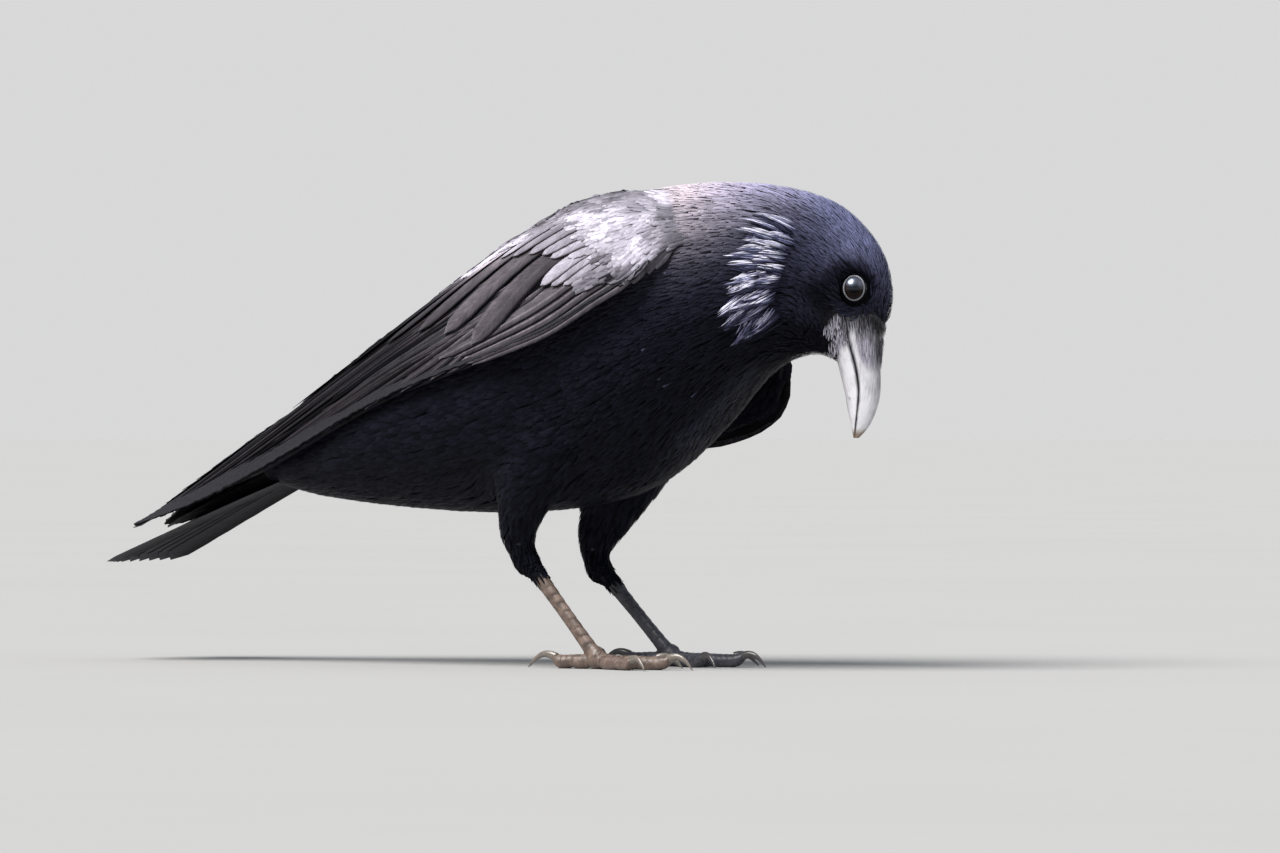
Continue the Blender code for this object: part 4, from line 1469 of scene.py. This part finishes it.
def make_wing(side, cape):
    """One wing: its core, its long feathers and the small ones that run on to the body."""
    sheet = WingSheet(side)
    lay_quills(side, sheet)

    def depth(points):
        return np.interp(sheet.shares(points)[0], [0, 7, 10], [2.4, 2.4, 1.2])

    def drop(points):
        """The upper edge goes under the feathers that cross it, though not at the wing's tip."""
        along, across = sheet.shares(points)
        return 3.2 * eased((0.16 - across) / 0.12) * eased((8.6 - along) / 1.4)

    sunk(sheet.core, sheet.form, depth, drop)
    sheet.core.data.materials.append(finishes["down"])
    carried(sheet.core, "flight_feathers", *wing_nodes(side))

    def on_cape(rule):
        """The places on this side of the bird, outside the wing, that a rule picks."""

        def inside(points):
            along, across = sheet.shares(points)
            own_side = (points[:, 1] - origin.y) * SIDES[side] > 3 + 0.12 * (points[:, 0] - origin.x)
            outer = (sheet.outside(points) > -3.5) | (along < 0.15) | (across < 0.06)
            return rule(along, across, sheet.core_distance(points)) & outer & own_side

        return inside

    def beneath(points):
        along, across = sheet.shares(points)
        return (sheet.outside(points) < -2.0) & (along < 4.5) & (across > 0.2) & (across < 0.97)

    make_small_feathers("wing_lining", sheet.form, sheet, beneath)
    make_small_feathers("lesser_coverts", cape, sheet, on_cape(is_lesser))
    make_small_feathers("scapulars", cape, sheet, on_cape(is_scapular))


CAPE_CLOSING = 7.0  # the cape bridges grooves between wing and body up to twice this wide


def closed_cape():
    """Body and wings under one smooth sheet, by growing them, smoothing and shrinking back."""
    grown = remeshed("cape", CAPE_NODES, CAPE_CLOSING, 2.2, 10)
    form = Form(grown.data)
    placed(grown, form.points - form.normals * (CAPE_CLOSING - 0.4))
    softened(grown, 8)
    form = Form(grown.data)
    bpy.data.objects.remove(grown)
    return form


cape_form = closed_cape()
for wing_side in SIDES:
    make_wing(wing_side, cape_form)

# ---- tail ----

TAIL_ROOT, TAIL_TIP = (-166, 82), (-263, 41)
TAIL_LENGTH = math.dist(TAIL_ROOT, TAIL_TIP)
TAIL_SPREAD = [(0, 17), (20, 22), (45, 26), (75, 29.5), (95, 31), (103, 31)]


class TailSheet(Sheet):
    """The tail's upper face as a sheet: along 0 to 1 from its root, across -1 to 1."""

    fades = False
    along = np.linspace(-0.1, 1.05, 60)
    across = np.linspace(-1.15, 1.15, 40)

    def __init__(self):
        slope = np.array([TAIL_TIP[0] - TAIL_ROOT[0], 0, TAIL_TIP[1] - TAIL_ROOT[1]]) / TAIL_LENGTH
        rise = np.array([slope[2], 0, -slope[0]])
        back = self.along * TAIL_LENGTH
        half = np.interp(back, *np.array(TAIL_SPREAD).T)
        root = np.array([TAIL_ROOT[0], 0, TAIL_ROOT[1]]) + np.array(origin)
        aside = half[:, None] * self.across[None]
        roof = 2.5 * (1 - self.across**2) + 1.3
        self.places = root + slope * back[:, None, None] + rise * roof[None, :, None]
        self.places[:, :, 1] += aside
        self.measure(rise)


def make_tail():
    """Twelve long feathers, the outer ones under the inner ones."""
    sheet = TailSheet()
    quills = Quills()
    for i in range(5, -1, -1):
        for sign in (-1, 1):
            aside = sign * (0.06 + 0.15 * i)
            tip = (1.0 - 0.012 * i**1.3, sign * (0.07 + 0.158 * i))
            inner, outer = 11.0, 6.0 if i else 9.0
            wide, narrow = (inner, outer) if sign > 0 else (outer, inner)
            quills.add(sheet, (-0.05, aside * 0.55), tip, wide, narrow, low=-0.35 * i - 0.4,
                       tilt=0.5 * sign, point=0.11, tone=0.02, camber=0.3, shaft=0.06)
    made = quills.make("tail_feathers", "tail", False)
    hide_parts("tail")


make_tail()

# ---- bill ----

BILL_AHEAD, BILL_TOP = 113.5, 145
# Below BILL_TOP; the culmen, the mouth line and the chin ahead of BILL_AHEAD; half width.
BILL = [
    (-12, 11.0, -7.6, -13.0, 11.0), (-5, 11.4, -5.4, -13.2, 10.4), (0, 10.7, -3.8, -12.5, 9.8),
    (6, 9.4, -2.2, -10.6, 9.0), (12, 9.0, -0.6, -9.1, 8.2), (18, 9.3, 0.4, -7.6, 7.3),
    (25, 9.1, 0.8, -6.0, 6.2), (31, 7.8, 0.1, -5.0, 4.9), (37, 5.3, -0.8, -3.6, 3.3),
    (41, 2.6, -1.4, -2.9, 2.0), (44, -0.3, -1.8, -2.4, 0.9),
]
BILL_RINGS, BILL_AROUND = 60, 33


def bill_section(place, upper):
    """(side, ahead) points of one mandible from one mouth edge round to the other."""
    below, culmen, mouth, chin, half_width = catmull(BILL, place)
    edge = mouth + (0.16 if upper else -0.16)
    rise = culmen - edge if upper else chin - edge
    width = half_width if upper else half_width * 0.93
    angle = np.linspace(0, math.pi, BILL_AROUND)
    side = width * np.sign(np.cos(angle)) * np.abs(np.cos(angle)) ** (0.92 if upper else 1.0)
    ahead = edge + rise * np.sin(angle) ** (0.86 if upper else 0.8)
    if upper:
        ahead = ahead + 0.25 * bell(angle, math.pi / 2, 0.22)
        lip = bell(angle, 0.12, 0.1) + bell(math.pi - angle, 0.12, 0.1)
        side = side * (1 + 0.02 * lip)
    return below, side, ahead


def outwards(made):
    """Turns all faces of a closed mesh to its outside."""
    shape = bmesh.new()
    shape.from_mesh(made.data)
    bmesh.ops.recalc_face_normals(shape, faces=shape.faces)
    shape.to_mesh(made.data)
    shape.free()


def lofted(name, rings, maps, numbers, finish, slot, flat_columns=0, endless=False):
    """A closed loft through rings of points. The last flat_columns strips are left unsmoothed.

    An endless loft runs on from its last ring into its first, so it has no ends to close.
    """
    points = np.array(rings, float)
    rows, columns = points.shape[:2]
    tops, others = [], []
    for i in range(rows if endless else rows - 1):
        start, following = i * columns, (i + 1) % rows * columns
        for j in range(columns):
            k = (j + 1) % columns
            face = (start + j, start + k, following + k, following + j)
            (tops if j < columns - flat_columns else others).append(face)
    if not endless:
        others += [tuple(range(columns))[::-1], tuple(range((rows - 1) * columns, rows * columns))]
    made = repeated(
        name, Pattern(tops, others), points.reshape(1, -1, 3),
        {"Vane": np.array(maps, float).reshape(1, -1, 2)},
        {key: np.array(values, float).reshape(1, -1) for key, values in numbers.items()},
        finish, slot,
    )
    outwards(made)
    return made


def bill_painted_glare(below, arc, tip, upper):
    """The painted glare round one ring of the horn: palest on the sides, less at the base, along the
    ridge and at the tip, with painted shade along the mouth line.
    """
    turn = np.linspace(0, math.pi, BILL_AROUND)
    ridge, edge = np.append(np.sin(turn) ** 6, 0), np.append(np.abs(np.cos(turn)), 1)
    painted_glare = 0.9 + 0.08 * edge
    if upper:
        painted_glare = 0.42 + 0.46 * edge**1.8 + 0.2 * eased((below - 16) / 20)
    painted_glare = painted_glare - 0.7 * eased((1.5 - below) / 6) - 0.1 * ridge - 0.15 * tip
    painted_glare = painted_glare - 0.9 * bell(np.abs(arc), np.abs(arc).max(), 0.3)
    # A small worn dark speck on each side of the lower one, two thirds of the way down.
    return painted_glare if upper else painted_glare - 0.5 * glow(edge, below, 0.8, 0.08, 27, 0.7)


def make_mandible(node, upper):
    """One half of the bill: a loft down its length, closed by a flat face at the mouth."""
    rings, maps, tones, browns = [], [], [], []
    for place in np.linspace(0, len(BILL) - 1, BILL_RINGS):
        below, side, ahead = bill_section(place, upper)
        arc = np.concatenate([[0], np.cumsum(np.hypot(np.diff(side), np.diff(ahead)))])
        arc = np.append(arc - arc[-1] / 2, 0)
        side, ahead = np.append(side, 0), np.append(ahead, (ahead[0] + ahead[-1]) / 2)
        rings.append([face_point(BILL_AHEAD + a, s, BILL_TOP - below) for s, a in zip(side, ahead)])
        maps.append(np.stack([arc, np.full(len(arc), below)], 1))
        tip = eased((below - 39) / 4)
        tones.append(bill_painted_glare(below, arc, tip, upper))
        browns.append(np.full(len(arc), 0.85 * tip))
    made = lofted(node + "_horn", rings, maps, {"tone": tones, "brown": browns}, "bill", "bill_horn",
                  2)
    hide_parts(node)


for mandible, is_upper in (("upper_mandible", True), ("lower_mandible", False)):
    make_mandible(mandible, is_upper)

# ---- bristles over the base of the bill ----

BRISTLE_ROWS = 5


def bristle_pattern():
    """A bristle: a three-sided taper that ends in a point."""
    tops, others = [], [(2, 1, 0)]
    for row in range(BRISTLE_ROWS - 1):
        for j in range(3):
            k = (j + 1) % 3
            first = 3 * row
            tops.append((first + j, first + k, first + 3 + k, first + 3 + j))
    end = 3 * (BRISTLE_ROWS - 1)
    tip = end + 3
    tops += [(end + j, end + (j + 1) % 3, tip) for j in range(3)]
    return Pattern(tops, others)


def bristle_lines(roots, aims, length, thick, out, droop):
    """Bristles from each root towards its aim, standing off by out in the middle."""
    count = len(roots)
    shares = np.linspace(0, 1, BRISTLE_ROWS + 1)
    way = unit(aims - roots)
    side = unit(np.cross(way, out))
    arch = np.sin(math.pi * np.clip(shares * 0.8, 0, 1))
    lines = roots[:, None] + way[:, None] * (length[:, None] * shares)[:, :, None]
    lines = lines + out[:, None] * (arch * droop[:, None])[:, :, None]
    points = np.empty((count, 3 * BRISTLE_ROWS + 1, 3))
    spread = np.zeros((count, points.shape[1], 2))
    up = unit(np.cross(side, way))
    for row in range(BRISTLE_ROWS):
        half = thick * (1 - 0.75 * shares[row])
        for j in range(3):
            angle = 2 * math.pi * j / 3
            move = side * math.cos(angle) + up * math.sin(angle)
            points[:, 3 * row + j] = lines[:, row] + move * half
            spread[:, 3 * row + j, 0] = half * math.cos(angle)
            spread[:, 3 * row + j, 1] = length * shares[row]
    points[:, -1] = lines[:, -1]
    spread[:, -1, 1] = length
    return points, spread


def bill_place(below, share, sign, upper):
    """A place on a mandible's side: share 0 at the mouth line, 1 on its ridge."""
    row = np.interp(below, [line[0] for line in BILL], range(len(BILL)))
    _, culmen, mouth, chin, half_width = catmull(BILL, row)
    ahead = mouth + ((culmen if upper else chin) - mouth) * share
    side = half_width * math.sqrt(max(1 - share**2, 0.02))
    return face_point(BILL_AHEAD + ahead, sign * side, BILL_TOP - below)


def lay_bristles(name, count, upper, below_range, share_range, length_range, thick, tone_range):
    """Bristles on the base of one mandible, that lie down along the horn."""
    laid = []
    for i in range(count):
        sign = 1 if i % 2 else -1
        below = chance.uniform(*below_range)
        share = chance.uniform(*share_range)
        place, normal, _, _ = bill_tree.find_nearest(bill_place(below, share, sign, upper))
        full = np.interp(share, share_range, length_range) * chance.uniform(0.7, 1.1)
        # The lobe of bristles ends at one level, rounded towards the mouth.
        end = 15.5 - 7.0 * (1 - share) ** 2 - 2.0 * share**4 + chance.normal(0, 1.3)
        full = min(full, max(end - below, 2.0)) if upper else full
        aim = bill_place(below + full, share * 0.96 + chance.normal(0, 0.04), sign, upper)
        aim = bill_tree.find_nearest(aim)[0] + normal * 0.3
        laid.append((place + normal * 0.05, aim, normal, full, below, share if upper else 0))
    roots, aims, outs, lengths, below, share = (np.array(values, float) for values in zip(*laid))
    points, spread = bristle_lines(roots, aims, lengths, thick, outs,
                                   chance.uniform(0.25, 0.8, count))
    # Painted sheen, darker at the base by the forehead and towards the ridge.
    tone = chance.uniform(*tone_range, count) * np.interp(below, [-11, 5], [0.2, 1.0])
    tone = tone * (1 - 0.8 * eased((share - 0.72) / 0.2))
    tone = tone[:, None] * (0.75 + 0.5 * spread[:, :, 1] / lengths[:, None])
    repeated(name, bristle_pattern(), points,
             {"OFBake": spread / 40 + 0.5, "Vane": spread}, {"tone": tone}, "bristle")


def mask_bristles():
    """Bristles from the skin over the base of the bill: long by the nostrils, short at the gape."""

    def inside(points):
        return np.array([on_mask(point) or (MASK_TOP <= point[2] < MASK_TOP + 1.5
                                            and bill_tree.find_nearest(point)[3] < 6)
                         for point in points.tolist()], bool)

    def down(points, normals):
        way = np.array(-UP) + 0.1 * np.array(face_ahead)
        return unit(way - normals * (normals @ way)[:, None])

    roots = coat_form.scattered(0.62, inside)
    count = len(roots)
    ahead = (roots - np.array(face_centre)) @ np.array(face_ahead) + EYE_AHEAD
    nasal = eased((ahead - 105.5) / 4)
    length = (3.2 + 5.5 * nasal) * chance.uniform(0.7, 1.15, count)
    feathers = Feathers(
        coat_form, down, roots, length, chance.uniform(0.22, 0.42, count), np.full(count, 0.3),
        chance.uniform(0.5, 1.5, count), 4, 1, 0.3, 11.0)
    # Painted sheen: paler by the gape than by the nostrils, darker towards its top edge and far ahead,
    # and paler towards each tip.
    tone = chance.uniform(0.0, 1.0, count) ** 1.4 * (2.6 - 1.5 * nasal)
    top = MASK_TOP + 0.5 - 0.35 * np.maximum(ahead - 111, 0) + chance.normal(0, 1.4, count)
    tone = tone * eased((top - roots[:, 2]) / 5)
    tone = tone * eased((124 - ahead) / 6)
    tone = tone[:, None] * (0.5 + 0.6 * feathers.share)
    feathers.join("mask_bristles", {"tone": tone}, "bristle", soft=False)


def make_bristles():
    """Stiff feathers that lie forward over the nostrils, and short ones round the gape."""
    mask_bristles()
    lay_bristles("nasal_bristles", 1000, True, (-11.5, 9.0), (0.28, 1.0), (6.5, 12.0), 0.1,
                 (0.1, 1.6))
    lay_bristles("gape_bristles", 420, False, (-11.0, 3.5), (0.05, 0.9), (2.6, 3.2), 0.12,
                 (0.2, 1.8))


make_bristles()

# ---- eyes ----

EYE_BALL = 5.9
LID_HALF_WIDE, LID_HALF_TALL = 4.15, 4.95
LID_BEADS = 34
# Round the rim and back under the feathers: how far out from the opening, and how high.
LID_PROFILE = [(0.0, -0.5), (0.02, 0.04), (0.18, 0.24), (0.42, 0.26), (0.75, 0.1), (1.5, -0.35),
               (2.6, -1.2), (3.0, -2.4), (0.4, -1.6)]
EYE_FORWARD, EYE_DOWN = 0.12, 0.02  # the eyes look a little ahead of straight sideways
BALL_ROWS, BALL_TURNS = 22, 40


def eye_ways(side):
    """An eye's way outward, across it and up it."""
    outward = np.array(face_left) * SIDES[side] + np.array(face_ahead) * EYE_FORWARD
    outward -= np.array(UP) * EYE_DOWN
    outward /= np.linalg.norm(outward)
    tall = np.array(UP) - outward * outward[2]
    tall /= np.linalg.norm(tall)
    return outward, np.cross(tall, outward), tall


def make_eyeball(side):
    """The ball, which bulges a little over the pupil."""
    outward, wide, tall = eye_ways(side)
    rings, maps = [], []
    for i in range(BALL_ROWS):
        polar = 0.02 + (math.radians(118) - 0.02) * i / (BALL_ROWS - 1)
        bulge = 1 + 0.035 * math.exp(-((polar / 0.5) ** 2))
        out, aside = math.cos(polar) * EYE_BALL * bulge, math.sin(polar) * EYE_BALL
        angles = [2 * math.pi * j / BALL_TURNS for j in range(BALL_TURNS)]
        rings.append([
            eyes[side] + outward * out + (wide * math.cos(angle) + tall * math.sin(angle)) * aside
            for angle in angles
        ])
        maps.append([(angle, polar * EYE_BALL) for angle in angles])
    ball = lofted(f"eyeball_{side}", rings, maps, {}, "eye", "eye_glass")
    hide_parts("eye_" + side)


def make_lids(side):
    """A thin rim on the ball, beaded along its edge, running back under the feathers."""
    outward, wide, tall = eye_ways(side)
    rings, maps, tones = [], [], []
    around = LID_BEADS * 6
    for j in range(around):
        angle = 2 * math.pi * j / around
        bead = 0.5 + 0.5 * math.cos(angle * LID_BEADS)
        ring, spots, shades = [], [], []
        for width, height in LID_PROFILE:
            across = wide * math.cos(angle) * (LID_HALF_WIDE + width)
            across = across + tall * math.sin(angle) * (LID_HALF_TALL + width)
            off = np.linalg.norm(across)
            reach = math.sqrt(max(EYE_BALL**2 - min(off, EYE_BALL - 0.3) ** 2, 0.3))
            swell = height + 0.1 * bead * bell(width, 0.3, 0.3)
            ring.append(eyes[side] + across + outward * (reach + swell))
            spots.append((j / around * 40, width))
            shades.append(0.95 * (0.25 + 0.75 * bead) * bell(width, 0.3, 0.2))
        rings.append(ring)
        maps.append(spots)
        tones.append(shades)
    lofted(f"eyelids_{side}", rings, maps, {"tone": tones}, "lid", "plumage", endless=True)


for eye_side in SIDES:
    make_eyeball(eye_side)
    make_lids(eye_side)

# ---- legs and feet ----

TOE_HEADINGS = {"inner": -25, "middle": 3, "outer": 30, "hind": 184}
TOE_LENGTHS = {"inner": 27, "middle": 37, "outer": 29, "hind": 22}
CLAW_LENGTHS = {"inner": 9.5, "middle": 10.5, "outer": 9, "hind": 13}
TOES_IN = {"right": 2, "left": 4}
SCUTE = 2.9  # along the toes
SHIN_SCUTE = 4.6
SAW_TOP = 0.86  # how far along a scute its highest place is


def saw(place):
    """A scute's height along it: rising slowly and dropping at its edge."""
    share = place % 1.0
    rising = 0.35 + 0.65 * (share / SAW_TOP) ** 0.8
    return np.where(share < SAW_TOP, rising, 1 - (share - SAW_TOP) / 0.14 * 0.65)


def toe_ways(side, toe):
    """The ways along and across a toe, which points ahead and a little inwards."""
    heading = math.radians(SIDES[side] * (TOE_HEADINGS[toe] - TOES_IN[side]))
    way = np.array([math.cos(heading), math.sin(heading), 0])
    return way, np.array([-way[1], way[0], 0])


class FootSkin:
    """The bare skin of one foot: how far each point moves out, where shade is painted in its creases,
    and how pale it is.
    """

    def __init__(self, side, form):
        self.side, self.points, self.normals = side, form.points, form.normals
        self.foot, self.heel = (np.array(in_row(*place[side])) for place in (KNUCKLES, HEELS))
        self.shin = unit((self.foot - self.heel)[None])[0]
        self.move = np.full(len(self.points), -0.12)
        self.painted_shade = np.zeros(len(self.points))
        self.tone = np.full(len(self.points), 0.35)
        self.carve_shin()
        for toe in TOES:
            self.carve_toe(toe)

    def plates(self, share, place, height):
        """Scutes across the skin here, with a crease before the edge of each, and painted shade in it.
        """
        plate = saw(place)
        self.move += share * (plate * height - 0.1)
        self.painted_shade = np.maximum(self.painted_shade, share * eased((0.5 - plate) / 0.15))

    def carve_shin(self):
        """Broad plates down the front, a net of small ones behind, and painted shade under the feathers.
        """
        along = (self.points - self.heel) @ self.shin
        off = np.linalg.norm(self.points - self.heel - along[:, None] * self.shin, axis=1)
        front = np.cross(np.array([0, 1, 0]), self.shin)
        front /= np.linalg.norm(front)
        front = front if front[0] > 0 else -front
        length = np.linalg.norm(self.foot - self.heel)
        self.on_shin = eased((length - 2 - along) / 3) * (off < 6)
        facing = self.normals @ front
        ahead_share = eased((facing + 0.1) / 0.5)
        self.plates(self.on_shin * ahead_share,
                    along / SHIN_SCUTE + 0.25 * np.abs(self.normals[:, 1]), 0.34)
        net = np.sin(along * 2.6) * np.sin(np.arctan2(self.normals[:, 1], -facing) * 7)
        self.move += self.on_shin * (1 - ahead_share) * net * 0.06
        self.tone += self.on_shin * 0.06 * np.sin(along * 1.1)
        self.painted_shade = np.maximum(self.painted_shade, self.on_shin * eased((10.0 - along) / 3))

    def carve_toe(self, toe):
        """Plates along the top of a toe and fine grain under it."""
        way, aside = toe_ways(self.side, toe)
        reach, across = (self.points - self.foot) @ way, (self.points - self.foot) @ aside
        apart, height = np.abs(across), self.points[:, 2]
        mine = (reach > 2.5) & (reach < TOE_LENGTHS[toe] + 2) & (apart < 4.2) & (height < 9)
        share = (mine & (apart < 0.45 * reach + 2.2)) * (1 - self.on_shin)
        self.plates(share * eased((self.normals[:, 2] + 0.15) / 0.5), reach / SCUTE, 0.3)
        under = eased((-self.normals[:, 2] + 0.1) / 0.4) * share
        grain = np.sin(reach * 4.2) * np.sin(across * 4.2)
        self.move += under * grain * 0.05 * (height > 0.4)


def make_foot(side):
    """Shin, knuckle and toes under one scaled skin, the feathers over its top, and the claws."""
    nodes = [f"tarsus_{side}", f"knuckle_{side}"] + [f"toe_{side}_{toe}" for toe in TOES]
    made = remeshed(f"foot_{side}_skin", nodes, 0.3, 0.55, 4)
    form = Form(made.data)
    bare = FootSkin(side, form)
    moved = form.points + form.normals * bare.move[:, None]
    moved[:, 2] = np.maximum(moved[:, 2], 0.0)
    placed(made, moved)
    add_number(made.data, "tone", bare.tone)
    add_number(made.data, "painted_shade", bare.painted_shade)
    made.data.materials.append(finishes[f"leg_{side}"])
    carried(made, "leg_scutes", *nodes)
    cover_shin(side, form, bare.heel, bare.shin)
    for toe in TOES:
        make_claw(side, toe, bare.foot)


CLAW_RADIUS = 1.95
CLAW_SINK = 1.9  # its line starts this far below the top of its solid
CLAW_ARCH = 0.17  # for each millimetre of its length
CLAW_RINGS, CLAW_TURNS = 26, 14


def cover_shin(side, form, heel, shin):
    """Small dark feathers down over the top of the shin, where the thigh's coat ends."""

    def high(points):
        along = (points - heel) @ shin
        return (along > 2) & (along < 13) & (np.linalg.norm(points - heel, axis=1) < 16)

    def down(points, normals):
        return unit(shin - normals * (normals @ shin)[:, None])

    roots = form.scattered(0.85, high)
    # Fewer and shorter towards the bare shin, so that they end raggedly.
    far = eased(((roots - heel) @ shin - 5) / 8)
    kept = chance.random(len(roots)) > far**0.7
    roots, far = roots[kept], far[kept]
    count = len(roots)
    length = chance.uniform(5.0, 9.5, count) * (1 - 0.4 * far)
    feathers = Feathers(
        form, down, roots, length, 1.3 - 0.6 * far, np.full(count, 0.2),
        chance.uniform(0.2, 1.2, count) * (1 - 0.6 * far), 4, 2, 0.15)
    feathers.spot = coat_form.settle(roots)[2]
    numbers = {"tone": chance.uniform(0.003, 0.012, count)[:, None], "own": own_numbers(count)}
    feathers.join(f"shin_feathers_{side}", numbers, "plumage")


def make_claw(side, toe, foot):
    """A curved claw from the toe's end to the floor, narrow and deeper above than below."""
    _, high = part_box(f"claw_{side}_{toe}")
    way, aside = toe_ways(side, toe)
    start = np.array([foot[0], foot[1], 0]) + way * (TOE_LENGTHS[toe] - 0.6)
    start[2] = min(high.z / MM - CLAW_SINK, 4.6)
    long, drop, rise = CLAW_LENGTHS[toe] + 1.4, start[2] - 0.25, CLAW_LENGTHS[toe] * CLAW_ARCH
    rings, maps = [], []
    for i in range(CLAW_RINGS):
        share = i / (CLAW_RINGS - 1)
        reach = long * share
        height = math.sin(math.pi * share) * rise - drop * share**2
        centre = start + way * reach + np.array([0, 0, height])
        slope = math.pi * math.cos(math.pi * share) * rise - 2 * drop * share
        tangent = unit((way * long + np.array([0, 0, slope]))[None])[0]
        up = np.cross(tangent, aside)
        up = up if up[2] > 0 else -up
        radius = CLAW_RADIUS * (1 - share) ** 0.72 + 0.16
        ring, spots = [], []
        for j in range(CLAW_TURNS):
            angle = 2 * math.pi * j / CLAW_TURNS
            tall = math.sin(angle) * radius * (1.08 if math.sin(angle) > 0 else 0.86)
            ring.append(centre + aside * math.cos(angle) * radius * 0.72 + up * tall)
            ring[-1][2] = max(ring[-1][2], 0.0)
            spots.append((angle * 2, reach))
        rings.append(ring)
        maps.append(spots)
    made = lofted(f"claw_{side}_{toe}_horn", rings, maps, {}, f"claw_{side}", "claw_horn")
    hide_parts(f"claw_{side}_{toe}")


for foot_side in SIDES:
    make_foot(foot_side)

# ---- floor, light and camera ----

TARGET = origin + Vector((7.6, 4.36, 106))
VIEW_AZIMUTH, VIEW_DISTANCE = 30, 3500
VIEW_WIDTH, SENSOR = 563.2, 36
WORLD_LIGHT = (0.04, 0.75)  # level with the bird, and overhead
BACKDROP = (0.69, 0.69, 0.692, 1)


def make_floor():
    """A wide pale floor, dull enough to show no gloss."""
    finish = Finish("pale_floor")
    cloud = finish.noise(finish.places(), 3.0, 3.0)
    finish.set(
        Base_Color=finish.blend(cloud, (0.35, 0.346, 0.339), (0.372, 0.368, 0.361)),
        Roughness=finish.ramp(cloud, 0.3, 0.7, 0.95, 0.9),
        Specular_IOR_Level=0.0,
    )
    finish.bump(finish.noise(finish.places(), 400.0, 2.0), 0.05, 0.0004)
    bpy.ops.object.select_all(action="DESELECT")
    bpy.ops.mesh.primitive_circle_add(vertices=96, radius=60, fill_type="NGON", location=(0, 0, 0))
    floor = bpy.context.object
    floor.name = "floor"
    floor.data.materials.append(finish.material)


def aimed(name, data, azimuth, elevation):
    """Sets a lamp or camera far out, looking at the bird. Azimuth 0 faces its right side."""
    azimuth, elevation = math.radians(azimuth), math.radians(elevation)
    out = Vector((math.sin(azimuth) * math.cos(elevation), -math.cos(azimuth) * math.cos(elevation),
                  math.sin(elevation)))
    made = linked(name, data)
    made.location = (TARGET + out * VIEW_DISTANCE) * MM
    made.rotation_euler = (-out).to_track_quat("-Z", "Y").to_euler()
    return made


def make_sun(name, azimuth, elevation, breadth, power, colour):
    """A soft lamp of this breadth in degrees."""
    data = bpy.data.lights.new(name, "SUN")
    data.angle, data.energy, data.color = math.radians(breadth), power, colour
    aimed(name, data, azimuth, elevation)


def make_world():
    """A pale backdrop, and a soft bluish light that is strongest from overhead.

    What the lens sees of it is plain, and what lights the bird is kept low so that black stays black.
    """
    world = bpy.data.worlds.new("studio")
    world.use_nodes = True
    tree = world.node_tree
    backdrop = tree.nodes["Background"]
    backdrop.inputs["Color"].default_value = BACKDROP
    overhead = tree.nodes.new("ShaderNodeBackground")
    overhead.inputs["Color"].default_value = (0.86, 0.91, 1.0, 1)
    height = tree.nodes.new("ShaderNodeSeparateXYZ")
    tree.links.new(tree.nodes.new("ShaderNodeTexCoord").outputs["Generated"], height.inputs["Vector"])
    strength = tree.nodes.new("ShaderNodeMapRange")
    strength.inputs["To Min"].default_value, strength.inputs["To Max"].default_value = WORLD_LIGHT
    tree.links.new(height.outputs["Z"], strength.inputs["Value"])
    tree.links.new(strength.outputs["Result"], overhead.inputs["Strength"])
    seen = tree.nodes.new("ShaderNodeLightPath").outputs["Is Camera Ray"]
    mixed = tree.nodes.new("ShaderNodeMixShader")
    tree.links.new(seen, mixed.inputs["Fac"])
    tree.links.new(overhead.outputs["Background"], mixed.inputs[1])
    tree.links.new(backdrop.outputs["Background"], mixed.inputs[2])
    tree.links.new(mixed.outputs["Shader"], tree.nodes["World Output"].inputs["Surface"])
    bpy.context.scene.world = world


def make_camera():
    """A long lens, level with the bird."""
    data = bpy.data.cameras.new("camera")
    data.sensor_width = SENSOR
    data.lens = SENSOR * VIEW_DISTANCE / VIEW_WIDTH
    data.clip_end = 100
    bpy.context.scene.camera = aimed("camera", data, VIEW_AZIMUTH, 0)


make_floor()
make_world()
make_sun("key", -22, 54, 40, 5.5, (1.0, 0.985, 0.97))
make_sun("side", 95, 25, 50, 0.35, (0.85, 0.9, 1.0))
make_camera()
bpy.context.scene.view_settings.view_transform = "Standard"
